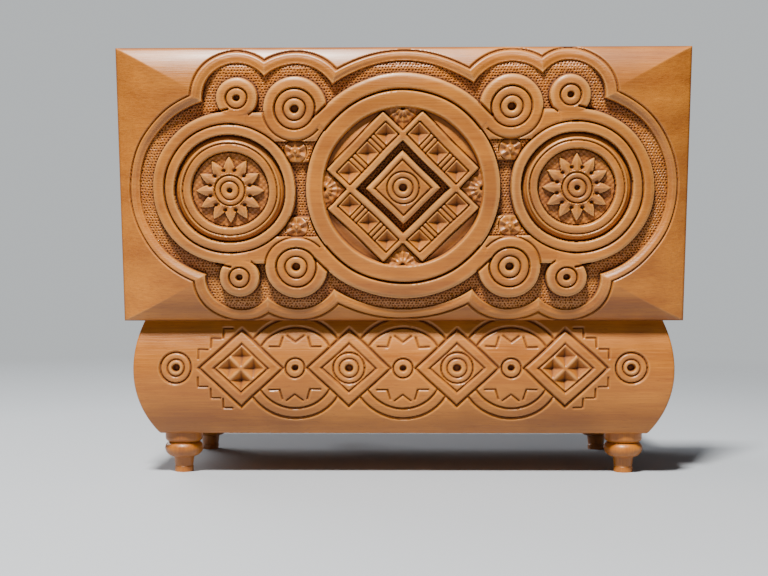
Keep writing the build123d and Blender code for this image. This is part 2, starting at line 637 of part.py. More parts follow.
for hand, hinge_x in (("left", -HINGE_X), ("right", HINGE_X)):
    knuckle_starts = [hinge_x - LEAF_LENGTH / 2 + step * KNUCKLE_PITCH for step in range(3)]
    outer_knuckles = (knuckle_starts[0], knuckle_starts[2])
    middle_knuckle = (knuckle_starts[1],)
    leaf_kinds = (
        ("body_leaf", outer_knuckles, BODY_LEAF_TOP - LEAF_THICKNESS, BODY_LEAF_TOP, 0.0),
        ("lid_leaf", middle_knuckle, LID_LEAF_BOTTOM + LEAF_THICKNESS, LID_LEAF_BOTTOM, RUNNING_FIT),
    )
    for kind, starts, wood_face, open_face, fit in leaf_kinds:
        thickness = open_face - wood_face
        with BuildPart() as leaf:
            with BuildSketch(Plane.XY.offset(wood_face)):
                with Locations((hinge_x, HINGE_Y - LEAF_REACH)):
                    Rectangle(LEAF_LENGTH, LEAF_DEPTH, align=(Align.CENTER, Align.MIN))
                for start in starts:
                    with Locations((start, LEAF_EDGE)):
                        Rectangle(KNUCKLE_LENGTH, HINGE_Y - LEAF_EDGE, align=(Align.MIN, Align.MIN))
            extrude(amount=thickness)
            for start in starts:
                with BuildSketch(Plane((start, HINGE_Y, HINGE_Z), x_dir=(0, 1, 0), z_dir=(1, 0, 0))):
                    Circle(KNUCKLE_RADIUS)
                extrude(amount=KNUCKLE_LENGTH)
            for start in starts:
                with BuildSketch(Plane((start, HINGE_Y, HINGE_Z), x_dir=(0, 1, 0), z_dir=(1, 0, 0))):
                    Circle(HINGE_PIN_RADIUS + fit)
                extrude(amount=KNUCKLE_LENGTH, mode=Mode.SUBTRACT)
            with BuildSketch(Plane.XY.offset(open_face)):
                with Locations((hinge_x, LEAF_SCREW_Y)):
                    with GridLocations(2 * LEAF_SCREW_SPREAD, 0, 2, 1):
                        Circle(SCREW_HEAD_RADIUS)
            extrude(amount=-math.copysign(SCREW_HEAD_HEIGHT, thickness), mode=Mode.SUBTRACT)
            with BuildSketch(Plane.XY.offset(open_face)):
                with Locations((hinge_x, LEAF_SCREW_Y)):
                    with GridLocations(2 * LEAF_SCREW_SPREAD, 0, 2, 1):
                        Circle(SCREW_RADIUS)
            extrude(amount=-thickness, mode=Mode.SUBTRACT)
        if kind == "lid_leaf":
            opened(leaf)
        save(leaf, f"{kind}_{hand}")
        for end, offset in (("a", -LEAF_SCREW_SPREAD), ("b", LEAF_SCREW_SPREAD)):
            inwards = -math.copysign(1, thickness)
            with BuildPart() as leaf_screw:
                with BuildSketch(Plane.XY.offset(open_face)):
                    with Locations((hinge_x + offset, LEAF_SCREW_Y)):
                        Circle(SCREW_HEAD_RADIUS)
                extrude(amount=inwards * SCREW_HEAD_HEIGHT)
                with BuildSketch(Plane.XY.offset(open_face)):
                    with Locations((hinge_x + offset, LEAF_SCREW_Y)):
                        Circle(SCREW_RADIUS)
                extrude(amount=inwards * SCREW_LENGTH)
            if kind == "lid_leaf":
                opened(leaf_screw)
            save(leaf_screw, f"{kind}_screw_{hand}_{end}")
    with BuildPart() as hinge_pin:
        pin_start = hinge_x - LEAF_LENGTH / 2
        with BuildSketch(Plane((pin_start, HINGE_Y, HINGE_Z), x_dir=(0, 1, 0), z_dir=(1, 0, 0))):
            Circle(HINGE_PIN_RADIUS)
        extrude(amount=LEAF_LENGTH)
    save(hinge_pin, f"hinge_pin_{hand}")

# ---------------------------------------------------------------- inside: tray, divider and cover

COVER_X = (DIVIDER_X + DIVIDER_THICKNESS / 2, INNER_X)
COVER_MIDDLE = sum(COVER_X) / 2
COVER_LENGTH = COVER_X[1] - COVER_X[0]

with BuildPart() as divider:
    with BuildSketch(Plane.XY.offset(FLOOR_Z)):
        with Locations((DIVIDER_X, 0)):
            Rectangle(DIVIDER_THICKNESS, 2 * INNER_Y)
    extrude(amount=DIVIDER_TOP - FLOOR_Z)
save(divider, "divider")

with BuildPart() as tray_lining:
    with BuildSketch(Plane.XY.offset(FLOOR_Z)):
        with Locations((-INNER_X, 0)):
            Rectangle(
                INNER_X + DIVIDER_X - DIVIDER_THICKNESS / 2,
                2 * INNER_Y,
                align=(Align.MIN, Align.CENTER),
            )
    extrude(amount=LINING_THICKNESS)
save(tray_lining, "tray_lining")

for ledge_name, ledge_side in (("ledge_front", -1), ("ledge_back", 1)):
    with BuildPart() as ledge:
        with BuildSketch(Plane.XY.offset(COVER_Z - LEDGE_SIZE)):
            with Locations((COVER_MIDDLE, ledge_side * (INNER_Y - LEDGE_SIZE / 2))):
                Rectangle(COVER_LENGTH, LEDGE_SIZE)
        extrude(amount=LEDGE_SIZE)
        with BuildSketch(Plane.XY.offset(COVER_Z)):
            with Locations((COVER_MIDDLE, ledge_side * (INNER_Y - LEDGE_SIZE / 2))):
                with GridLocations(COVER_LENGTH - 2 * LEDGE_SIZE, 0, 2, 1):
                    Circle(SCREW_RADIUS)
        extrude(amount=-COVER_SCREW_DEPTH, mode=Mode.SUBTRACT)
    save(ledge, ledge_name)

with BuildPart() as cover:
    with BuildSketch(Plane.XY.offset(COVER_Z)):
        with Locations((COVER_MIDDLE, 0)):
            Rectangle(COVER_LENGTH - 2 * COVER_MARGIN, 2 * (INNER_Y - COVER_MARGIN))
            with GridLocations(COVER_LENGTH - 2 * LEDGE_SIZE, 2 * INNER_Y - LEDGE_SIZE, 2, 2):
                Circle(SCREW_RADIUS, mode=Mode.SUBTRACT)
    extrude(amount=COVER_THICKNESS)
save(cover, "cover")

COVER_SCREWS = {
    "cover_screw_front_left": (-1, -1),
    "cover_screw_front_right": (1, -1),
    "cover_screw_back_left": (-1, 1),
    "cover_screw_back_right": (1, 1),
}
for screw_name, (screw_side, screw_end) in COVER_SCREWS.items():
    screw_place = (
        COVER_MIDDLE + screw_side * (COVER_LENGTH / 2 - LEDGE_SIZE),
        screw_end * (INNER_Y - LEDGE_SIZE / 2),
    )
    with BuildPart() as cover_screw:
        with BuildSketch(Plane.XY.offset(COVER_Z - COVER_SCREW_DEPTH)):
            with Locations(screw_place):
                Circle(SCREW_RADIUS)
        extrude(amount=COVER_SCREW_DEPTH + COVER_THICKNESS)
        with BuildSketch(Plane.XY.offset(COVER_Z + COVER_THICKNESS)):
            with Locations(screw_place):
                Circle(SCREW_HEAD_RADIUS)
        extrude(amount=2 * SCREW_HEAD_HEIGHT)
    save(cover_screw, screw_name)

# ---------------------------------------------------------------- music movement

BED_CENTRE = (sum(BED_X) / 2, sum(BED_Y) / 2)
BED_SIZE = (BED_X[1] - BED_X[0], BED_Y[1] - BED_Y[0])
BED_SCREW_SPACING = (BED_SIZE[0] - BED_SCREW_INSET, BED_SIZE[1] - BED_SCREW_INSET)
TENON_XS = (CYLINDER_X - TENON_SPREAD, CYLINDER_X + TENON_SPREAD)
PLATE_FACES = (FRONT_PLATE_Y, REAR_PLATE_Y)

with BuildPart() as bedplate:
    with BuildSketch(Plane.XY.offset(FLOOR_Z)):
        with Locations(BED_CENTRE):
            RectangleRounded(*BED_SIZE, radius=3)
            with GridLocations(*BED_SCREW_SPACING, 2, 2):
                Circle(BED_SCREW_RADIUS, mode=Mode.SUBTRACT)
        for tenon_x in TENON_XS:
            for face_y in PLATE_FACES:
                with Locations((tenon_x, face_y + PLATE_THICKNESS / 2)):
                    Rectangle(TENON_WIDTH, PLATE_THICKNESS, mode=Mode.SUBTRACT)
    extrude(amount=BEDPLATE_THICKNESS)
save(bedplate, "bedplate")

bed_screw_names = ("front_left", "back_left", "front_right", "back_right")
bed_screw_places = [
    (BED_CENTRE[0] + x * BED_SCREW_SPACING[0] / 2, BED_CENTRE[1] + y * BED_SCREW_SPACING[1] / 2)
    for x in (-1, 1)
    for y in (-1, 1)
]
for screw_name, screw_place in zip(bed_screw_names, bed_screw_places):
    with BuildPart() as bed_screw:
        with BuildSketch(Plane.XY.offset(FLOOR_Z)):
            with Locations(screw_place):
                Circle(BED_SCREW_RADIUS)
        extrude(amount=BEDPLATE_THICKNESS)
        with BuildSketch(Plane.XY.offset(BED_Z)):
            with Locations(screw_place):
                Circle(BED_SCREW_HEAD)
        extrude(amount=2 * SCREW_HEAD_HEIGHT)
    save(bed_screw, f"bed_screw_{screw_name}")

PLATE_KINDS = (
    ("front_plate", FRONT_PLATE_Y, CRANK_X - PLATE_MARGIN, CRANK_Z + PLATE_MARGIN),
    ("rear_plate", REAR_PLATE_Y, CYLINDER_X - PLATE_MARGIN - PLATE_LIP, CYLINDER_Z + PLATE_MARGIN),
)
for plate_name, face_y, left_x, top_z in PLATE_KINDS:
    right_x = CYLINDER_X + PLATE_MARGIN + PLATE_LIP
    with BuildPart() as plate:
        with BuildSketch(Plane.XZ.offset(-face_y - PLATE_THICKNESS)):
            with BuildLine():
                Polyline(
                    (left_x, BED_Z),
                    (left_x, top_z),
                    (left_x + 2 * PLATE_MARGIN, top_z),
                    (right_x, CYLINDER_Z + PLATE_MARGIN - PLATE_LIP),
                    (right_x, BED_Z),
                    (left_x, BED_Z),
                )
            make_face()
            for tenon_x in TENON_XS:
                with Locations((tenon_x, BED_Z - BEDPLATE_THICKNESS / 2)):
                    Rectangle(TENON_WIDTH, BEDPLATE_THICKNESS)
            with Locations((CYLINDER_X, CYLINDER_Z)):
                Circle(ARBOR_RADIUS + RUNNING_FIT, mode=Mode.SUBTRACT)
            if plate_name == "front_plate":
                with Locations((CRANK_X, CRANK_Z)):
                    Circle(SHAFT_RADIUS + RUNNING_FIT, mode=Mode.SUBTRACT)
        extrude(amount=PLATE_THICKNESS)
    save(plate, plate_name)

COMB_WIDTH = COMB_TEETH * COMB_PITCH
COMB_TEETH_Y = [(tooth - (COMB_TEETH - 1) / 2) * COMB_PITCH for tooth in range(COMB_TEETH)]
COMB_SCREW_YS = (-COMB_WIDTH / 3, 0, COMB_WIDTH / 3)
COMB_SCREW_X = (COMB_ROOT_X + COMB_END_X) / 2

with BuildPart() as comb_block:
    with BuildSketch(Plane.XY.offset(BED_Z)):
        with Locations((COMB_SCREW_X, 0)):
            Rectangle(COMB_END_X - COMB_ROOT_X, COMB_WIDTH + 4)
    extrude(amount=CYLINDER_Z - BED_Z)
    with BuildSketch(Plane.XY.offset(CYLINDER_Z)):
        with Locations(*[(COMB_SCREW_X, y) for y in COMB_SCREW_YS]):
            Circle(SCREW_RADIUS)
    extrude(amount=-SCREW_LENGTH, mode=Mode.SUBTRACT)
save(comb_block, "comb_block")

with BuildPart() as comb:
    with BuildSketch(Plane.XY.offset(CYLINDER_Z)):
        with Locations((COMB_TIP_X, 0)):
            Rectangle(COMB_END_X - COMB_TIP_X, COMB_WIDTH, align=(Align.MIN, Align.CENTER))
        for tooth_y in COMB_TEETH_Y[1:]:
            with Locations((COMB_TIP_X, tooth_y - COMB_PITCH / 2)):
                Rectangle(
                    COMB_ROOT_X - COMB_TIP_X - 1,
                    COMB_SLIT,
                    align=(Align.MIN, Align.CENTER),
                    mode=Mode.SUBTRACT,
                )
        with Locations(*[(COMB_SCREW_X, y) for y in COMB_SCREW_YS]):
            Circle(SCREW_RADIUS, mode=Mode.SUBTRACT)
    extrude(amount=COMB_THICKNESS)
save(comb, "comb")

for number, screw_y in enumerate(COMB_SCREW_YS, start=1):
    with BuildPart() as comb_screw:
        with BuildSketch(Plane.XY.offset(CYLINDER_Z - SCREW_LENGTH)):
            with Locations((COMB_SCREW_X, screw_y)):
                Circle(SCREW_RADIUS)
        extrude(amount=SCREW_LENGTH + COMB_THICKNESS)
        with BuildSketch(Plane.XY.offset(CYLINDER_Z + COMB_THICKNESS)):
            with Locations((COMB_SCREW_X, screw_y)):
                Circle(BED_SCREW_HEAD)
        extrude(amount=2 * SCREW_HEAD_HEIGHT)
    save(comb_screw, f"comb_screw_{number}")

# ---------------------------------------------------------------- cylinder

CYLINDER_FRONT = FRONT_PLATE_Y + PLATE_THICKNESS + END_PLAY
CYLINDER_BACK = REAR_PLATE_Y - END_PLAY
WHEEL_FRONT = FRONT_PLATE_Y - END_PLAY - GEAR_WIDTH
GOLDEN_ANGLE = 137.5


def gear_plane(x, z):
    """The plane of the gears' rear faces, centred on one gear's axis."""
    return Plane((x, WHEEL_FRONT + GEAR_WIDTH, z), x_dir=(1, 0, 0), z_dir=(0, -1, 0))


with BuildPart() as cylinder:
    with BuildSketch(Plane.XZ.offset(-CYLINDER_BACK)):
        with Locations((CYLINDER_X, CYLINDER_Z)):
            Circle(CYLINDER_RADIUS)
            Circle(ARBOR_RADIUS, mode=Mode.SUBTRACT)
    extrude(amount=CYLINDER_BACK - CYLINDER_FRONT)
    for number, tooth_y in enumerate(COMB_TEETH_Y):
        for note in range(NOTES_PER_TOOTH):
            angle = math.radians(GOLDEN_ANGLE * number + 360 / NOTES_PER_TOOTH * note)
            outwards = Vector(math.cos(angle), 0, math.sin(angle))
            foot_point = Vector(CYLINDER_X, tooth_y, CYLINDER_Z) + outwards * (CYLINDER_RADIUS - 1)
            with BuildSketch(Plane(foot_point, x_dir=(0, 1, 0), z_dir=outwards)):
                Circle(PIN_RADIUS)
            extrude(amount=PIN_HEIGHT + 1)
save(cylinder, "cylinder")

with BuildPart() as cylinder_arbor:
    with BuildSketch(Plane.XZ.offset(-(REAR_PLATE_Y + PLATE_THICKNESS + 1))):
        with Locations((CYLINDER_X, CYLINDER_Z)):
            Circle(ARBOR_RADIUS)
    extrude(amount=REAR_PLATE_Y + PLATE_THICKNESS + 2 - WHEEL_FRONT)
save(cylinder_arbor, "cylinder_arbor")

with BuildPart() as cylinder_wheel:
    with BuildSketch(gear_plane(CYLINDER_X, CYLINDER_Z)):
        Polygon(*involute_gear(WHEEL_TEETH, BACKLASH / 2), align=None)
        Circle(ARBOR_RADIUS, mode=Mode.SUBTRACT)
        with PolarLocations(WHEEL_HOLE_CIRCLE, WHEEL_HOLES):
            Circle(WHEEL_HOLE_RADIUS, mode=Mode.SUBTRACT)
    extrude(amount=GEAR_WIDTH)
save(cylinder_wheel, "cylinder_wheel")

# ---------------------------------------------------------------- crank

KNOB_Z = CRANK_Z - ARM_LENGTH
ARM_FRONT = ARM_Y - ARM_THICKNESS
KNOB_START = ARM_FRONT - END_PLAY
KNOB_END = -LID_REACH + KNOB_PIN_CAP + END_PLAY
SHAFT_END = FRONT_PLATE_Y + PLATE_THICKNESS

with BuildPart() as crank_bush:
    with BuildSketch(Plane.XZ.offset(INNER_Y)):
        with Locations((CRANK_X, CRANK_Z)):
            Circle(BUSH_RADIUS)
    extrude(amount=WALL_DEPTH)
    with BuildSketch(Plane.XZ.offset(HALF_DEPTH)):
        with Locations((CRANK_X, CRANK_Z)):
            Circle(BUSH_FLANGE_RADIUS)
    extrude(amount=BUSH_FLANGE)
    with BuildSketch(Plane.XZ.offset(INNER_Y)):
        with Locations((CRANK_X, CRANK_Z)):
            Circle(SHAFT_RADIUS + RUNNING_FIT)
    extrude(amount=WALL_DEPTH + BUSH_FLANGE, mode=Mode.SUBTRACT)
save(crank_bush, "crank_bush")

with BuildPart() as crank_shaft:
    with BuildSketch(Plane.XZ.offset(-SHAFT_END)):
        with Locations((CRANK_X, CRANK_Z)):
            Circle(SHAFT_RADIUS)
    extrude(amount=SHAFT_END - ARM_FRONT)
    with BuildSketch(Plane.XZ.offset(-ARM_FRONT)):
        with Locations((CRANK_X, CRANK_Z)):
            Circle(SHAFT_RADIUS + 1)
    extrude(amount=1)
save(crank_shaft, "crank_shaft")

with BuildPart() as crank_pinion:
    with BuildSketch(gear_plane(CRANK_X, CRANK_Z)):
        Polygon(
            *involute_gear(PINION_TEETH, BACKLASH / 2), rotation=GEAR_DROP_ANGLE, align=None
        )
        Circle(SHAFT_RADIUS, mode=Mode.SUBTRACT)
    extrude(amount=GEAR_WIDTH)
save(crank_pinion, "crank_pinion")

with BuildPart() as crank_arm:
    with BuildSketch(Plane.XZ.offset(-ARM_Y)):
        with Locations((CRANK_X, (CRANK_Z + KNOB_Z) / 2)):
            SlotCenterToCenter(ARM_LENGTH, ARM_WIDTH, rotation=90)
        with Locations((CRANK_X, CRANK_Z)):
            Circle(SHAFT_RADIUS, mode=Mode.SUBTRACT)
        with Locations((CRANK_X, KNOB_Z)):
            Circle(KNOB_PIN_RADIUS, mode=Mode.SUBTRACT)
    extrude(amount=ARM_THICKNESS)
save(crank_arm, "crank_arm")

with BuildPart() as knob_pin:
    with BuildSketch(Plane.XZ.offset(-ARM_Y)):
        with Locations((CRANK_X, KNOB_Z)):
            Circle(KNOB_PIN_RADIUS)
    extrude(amount=LID_REACH + ARM_Y)
    with BuildSketch(Plane.XZ.offset(LID_REACH - KNOB_PIN_CAP)):
        with Locations((CRANK_X, KNOB_Z)):
            Circle(KNOB_PIN_HEAD)
    extrude(amount=KNOB_PIN_CAP)
save(knob_pin, "knob_pin")

with BuildPart() as knob:
    with BuildSketch(Plane((CRANK_X, 0, KNOB_Z))):
        with BuildLine():
            Polyline((0, KNOB_START), (KNOB_WAIST, KNOB_START), (KNOB_WAIST, KNOB_START - 1.5))
            ThreePointArc(
                (KNOB_WAIST, KNOB_START - 1.5),
                (KNOB_RADIUS, (KNOB_START - 1.5 + KNOB_END) / 2),
                (KNOB_WAIST, KNOB_END),
            )
            Polyline((KNOB_WAIST, KNOB_END), (0, KNOB_END), (0, KNOB_START))
        make_face()
        with Locations((0, (KNOB_START + KNOB_END) / 2)):
            Rectangle(
                2 * (KNOB_PIN_RADIUS + RUNNING_FIT), KNOB_START - KNOB_END, mode=Mode.SUBTRACT
            )
    revolve(axis=Axis((CRANK_X, 0, KNOB_Z), (0, 1, 0)))
save(knob, "crank_knob")
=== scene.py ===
import json
import math

import bmesh
import bpy
import numpy as np
from mathutils import Matrix, Vector


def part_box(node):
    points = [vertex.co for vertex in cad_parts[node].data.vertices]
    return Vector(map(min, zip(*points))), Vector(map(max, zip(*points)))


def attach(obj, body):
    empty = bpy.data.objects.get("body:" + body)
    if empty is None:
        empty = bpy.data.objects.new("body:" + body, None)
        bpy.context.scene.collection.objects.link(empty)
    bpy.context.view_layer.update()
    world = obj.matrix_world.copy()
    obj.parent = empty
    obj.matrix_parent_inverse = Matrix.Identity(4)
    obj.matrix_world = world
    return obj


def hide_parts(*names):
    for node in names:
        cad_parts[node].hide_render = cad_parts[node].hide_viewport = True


# Looks of the carved music box. Lengths named here are in millimetres, in the CAD frame: +Z up,
# -Y the front with the crank, +Y the hinge side. Meshes are written in metres.

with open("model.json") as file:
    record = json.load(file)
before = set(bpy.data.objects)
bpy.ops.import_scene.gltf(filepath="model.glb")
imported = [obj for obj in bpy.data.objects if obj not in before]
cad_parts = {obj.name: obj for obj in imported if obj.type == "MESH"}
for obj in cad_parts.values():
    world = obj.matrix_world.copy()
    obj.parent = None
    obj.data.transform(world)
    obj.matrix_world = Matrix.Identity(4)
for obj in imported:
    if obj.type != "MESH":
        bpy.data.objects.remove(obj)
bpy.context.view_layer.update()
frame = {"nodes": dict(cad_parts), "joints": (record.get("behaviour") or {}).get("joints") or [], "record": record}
joints = {joint["name"]: joint for joint in frame["joints"]}
MM = 0.001

# Body
HALF_LENGTH, HALF_DEPTH = 124.35, 57.9
BODY_BOTTOM, RIM_Z, BULGE_Z = 19.2, 79.7, 49.5
LOWER_RADIUS, UPPER_RADIUS = 50.0, 60.0
WALL_DEPTH, FLOOR_THICKNESS, RABBET = 16.0, 5.0, 2.5
BUSH_RADIUS = 4.5

# Lid, in its closed place
LID_HALF_LENGTH, LID_HALF_DEPTH = 128.0, 61.5
LID_Z, LID_EDGE, LID_RISE = 80.0, 5.0, 7.0
END_BEVEL, SIDE_BEVEL = 37.0, 20.0
EDGE_SOFTENING = 0.5
OPEN_ANGLE = joints["lid_hinge"]["range_deg"][1]
HINGE_Y, HINGE_Z = (metres / MM for metres in joints["lid_hinge"]["pos_m"][1:])
HINGE_X, LEAF_LENGTH, LEAF_REACH, LEAF_FACE = 70.0, 24.0, 11.5, 1.1
KNUCKLE_ROOM, KNUCKLE_END_ROOM = 2.4, 0.4
POCKET_X, POCKET_Y, POCKET_DEPTH = 98.0, 33.0, 2.0

# Carving on the lid: centres of the discs and of the two volutes in each quarter
DISC_X = 77.4
BIG, SMALL = (48.0, 36.0), (73.7, 40.8)
# Radii of the punched ground and of the moulding round it, about the centre, a disc, a big volute
# and a small one
GROUND_RADII = (55.7, 41.1, 19.4, 15.3)
MOULDING_RADII = (60.5, 45.7, 25.3, 20.8)
# The ground lies this far under the lid's face, and no higher than this above its underside
GROUND_DROP, GROUND_HEIGHT, LOWEST_CUT = 2.5, 7.6, 4.0
# Radii outwards from each centre
FIELD, CENTRE_RING, CENTRE_BAND = 35.6, 43.4, 50.6
DISC_EDGE, DISC_RING, DISC_BAND = 24.9, 29.5, 34.9
BIG_BAND, BIG_EYE, BIG_BEAD = 14.1, 9.1, 5.0
SMALL_BAND, SMALL_EYE = 9.1, 4.7
ROSETTE_RING, ROSETTE_RECESS, ROSETTE_BOSS = 21.2, 17.3, 6.9
ROSETTE_PETALS, ROSETTE_TIP, ROSETTE_ROOT = 12, 15.2, 10.0
# The hole in a ring boss, and how far a boss's outer groove reaches past its radius
EYE_HOLE, EYE_MARGIN = 1.9, 0.6
PUNCH_PITCH, PUNCH_RADIUS, PUNCH_DEPTH = 1.4, 0.52, 0.75
PIT_DEPTH = 5.0
# How far a disc's outer band runs on past the small volute
TAIL = 6.0
# How much wider and deeper every V cut is than it was laid out
GOUGE_WIDTH, GOUGE_DEPTH = 1.3, 1.2

# Carving on the boards: its middle height, the distance between lozenges, and their half sizes
PATTERN_Z, UNIT = 50.3, 49.7
DIAMOND, INNER_DIAMOND = (19.2, 17.9), (12.4, 11.2)
# Other cuts stop at this multiple of a lozenge's size
CLEAR_OF_DIAMOND = 1.02
RING_HOLE, RING_BEAD, RING_RADIUS = 1.8, 3.9, 7.2
BACK_RING_X, END_RING_Y, END_SHIFT = 104.7, 34.8, 7.0
DOT_RADIUS = 4.5

# Meshes: grid steps, the length of a board's curved face, and the run in which a board's columns
# lean over to its mitre
LID_STEP = 0.3
BOARD_STEP = 0.4
FELT_STEP = 1.5
FACE_RUN = 64.0
MITRE_LEAN = 30.0
CAVITY_CAP = 1.0
# How far a cutter stands out of the solid that it cuts
PROUD = 1.0


# ------------------------------------------------------------------ profiles, all on numpy arrays


def smooth(t):
    """A soft step that rises from 0 to 1 while t does."""
    t = np.clip(t, 0.0, 1.0)
    return t * t * (3 - 2 * t)


def vee(distance, width, depth):
    """A V cut along distance 0, opened out and deepened by the carver's hand."""
    return GOUGE_DEPTH * depth * np.clip(1 - np.abs(distance) / (GOUGE_WIDTH * width / 2), 0, 1)


def bead(r, inner, outer, height):
    """A half-round moulding between two radii."""
    t = (2 * r - inner - outer) / (outer - inner)
    return height * np.sqrt(np.clip(1 - t * t, 0, 1))


def band(r, inner, outer):
    """Distance outside the band between two radii, negative within it."""
    return np.abs(r - (inner + outer) / 2) - (outer - inner) / 2


def segment(x, y, a, b):
    """Distance from the points to the straight line from a to b."""
    ax, ay = a
    dx, dy = b[0] - ax, b[1] - ay
    t = np.clip(((x - ax) * dx + (y - ay) * dy) / (dx * dx + dy * dy), 0, 1)
    return np.hypot(x - ax - t * dx, y - ay - t * dy)


def scatter(i, j, seed):
    """A repeatable number from 0 to 1 for each cell of a grid."""
    value = np.sin(i * 127.1 + j * 311.7 + seed * 74.7) * 43758.5453
    return value - np.floor(value)


def punches(x, y):
    """Depth of rows of small punch marks, each a little out of its place."""
    row_pitch = PUNCH_PITCH * 0.87
    row = np.floor(y / row_pitch)
    stagger = 0.5 * (row % 2)
    column = np.floor(x / PUNCH_PITCH + stagger)
    cx = (column - stagger + 0.5 + 0.34 * (scatter(column, row, 1) - 0.5)) * PUNCH_PITCH
    cy = (row + 0.5 + 0.3 * (scatter(column, row, 2) - 0.5)) * row_pitch
    strength = PUNCH_DEPTH * (0.6 + 0.4 * scatter(column, row, 3))
    return strength * smooth(1.25 * (1 - np.hypot(x - cx, y - cy) / PUNCH_RADIUS))


def hand_wobble(x, y):
    """Slow small shifts that keep the carving from looking machined."""
    dx = 0.14 * np.sin(0.11 * y + 0.5) + 0.1 * np.sin(0.23 * x + 0.17 * y)
    dy = 0.14 * np.sin(0.09 * x + 1.3) + 0.1 * np.sin(0.21 * y - 0.13 * x)
    return x + dx, y + dy


def sunk_pyramid(a, b, half, depth):
    """A chip-carved square: four facets falling to one point."""
    return depth * np.clip(1 - np.maximum(np.abs(a), np.abs(b)) / half, 0, 1)


def eye_cuts(r, hole, inner, outer, size):
    """Cut depth of a ring boss: a groove, two half-round rings and a hole."""
    ring = size - bead(r, inner, outer, size * 0.8)
    core = size * 1.25 - bead(r, hole * 0.8, inner, size * 1.1)
    cut = np.where(r < outer, np.where(r > inner, ring, core), 0)
    cut = cut + vee(r - outer, 1.1, size) + vee(r - inner, 0.9, size * 0.6)
    return cut + 2.2 * size * smooth((hole - r) / 0.7 + 0.4)


def small_eye(r):
    """Cut depth of a small volute's eye."""
    cut = vee(r - SMALL_EYE, 1.0, 1.0)
    cut = np.where(r < SMALL_EYE, cut + 0.9 - bead(r, 0.9, SMALL_EYE, 0.8), cut)
    return cut + 2.2 * smooth((1.6 - r) / 0.7 + 0.3)


def dot_cut(r):
    """Cut depth of a small round boss."""
    cut = vee(r - DOT_RADIUS, 1.0, 1.0)
    cut = np.where(r < DOT_RADIUS, cut + 0.7 - bead(r, 0.6, DOT_RADIUS, 0.65), cut)
    return cut + 2.0 * smooth((1.7 - r) / 0.8 + 0.2)


def ring_boss(r):
    """Cut depth of a ring boss beside a row of lozenges."""
    return np.where(r < 8.0, eye_cuts(r, RING_HOLE, RING_BEAD, RING_RADIUS, 0.9), 0)


# ------------------------------------------------------------------ the lid's carved top


def pillow(xa, ya):
    """Height of the uncarved lid above its underside."""

    def rise(inside, width):
        """Height gained over a bevel, an arc of the given width, from the edge inwards."""
        radius = (width**2 + LID_RISE**2) / (2 * LID_RISE)
        reach = np.clip(width - inside, 0, width)
        return np.sqrt(radius**2 - reach**2) - (radius - LID_RISE)

    ends = rise(LID_HALF_LENGTH - xa, END_BEVEL)
    sides = rise(LID_HALF_DEPTH - ya, SIDE_BEVEL)
    edge = np.minimum(LID_HALF_LENGTH - xa, LID_HALF_DEPTH - ya)
    return LID_EDGE + np.minimum(ends, sides) - EDGE_SOFTENING * (1 - smooth(edge))


def rosette(dx, dy, r):
    """Cut depth inside a disc: chamfered edge, a half-round ring, a dish, petals and a boss."""
    turn = np.arctan2(dy, dx) * ROSETTE_PETALS / (2 * math.pi)
    within = np.abs((turn + 0.5) % 1.0 - 0.5) * 2
    star = ROSETTE_TIP - (ROSETTE_TIP - ROSETTE_ROOT) * within
    chamfer = 0.3 + 2.3 * smooth((r - ROSETTE_RING - 0.2) / 3.2)
    ring = 0.9 - bead(r, ROSETTE_RECESS, ROSETTE_RING, 0.6)
    petal = 0.3 + 0.8 * within + 0.5 * smooth((r - 11.0) / 4.0)
    petal = petal + 1.3 * smooth((1.2 - np.hypot(r - 9.2, (1 - within) * 2.4)) / 0.8)
    dish = 2.5 + 0.15 * np.sin(2.4 * dx) * np.sin(2.4 * dy)
    flower = petal + (dish - petal) * smooth((r - star) / 0.35 + 0.5)
    cut = np.where(r > ROSETTE_RING, chamfer, np.where(r > ROSETTE_RECESS, ring, flower))
    cut = cut + vee(r - ROSETTE_RING, 0.9, 0.8) + vee(r - ROSETTE_RECESS, 0.9, 0.7)
    cut = cut + vee(r - ROSETTE_RING - 1.6, 0.7, 0.4)
    boss = 0.2 + eye_cuts(r, 1.2, 4.2, ROSETTE_BOSS, 0.9)
    return np.where(r < ROSETTE_BOSS + 0.7, boss, cut)


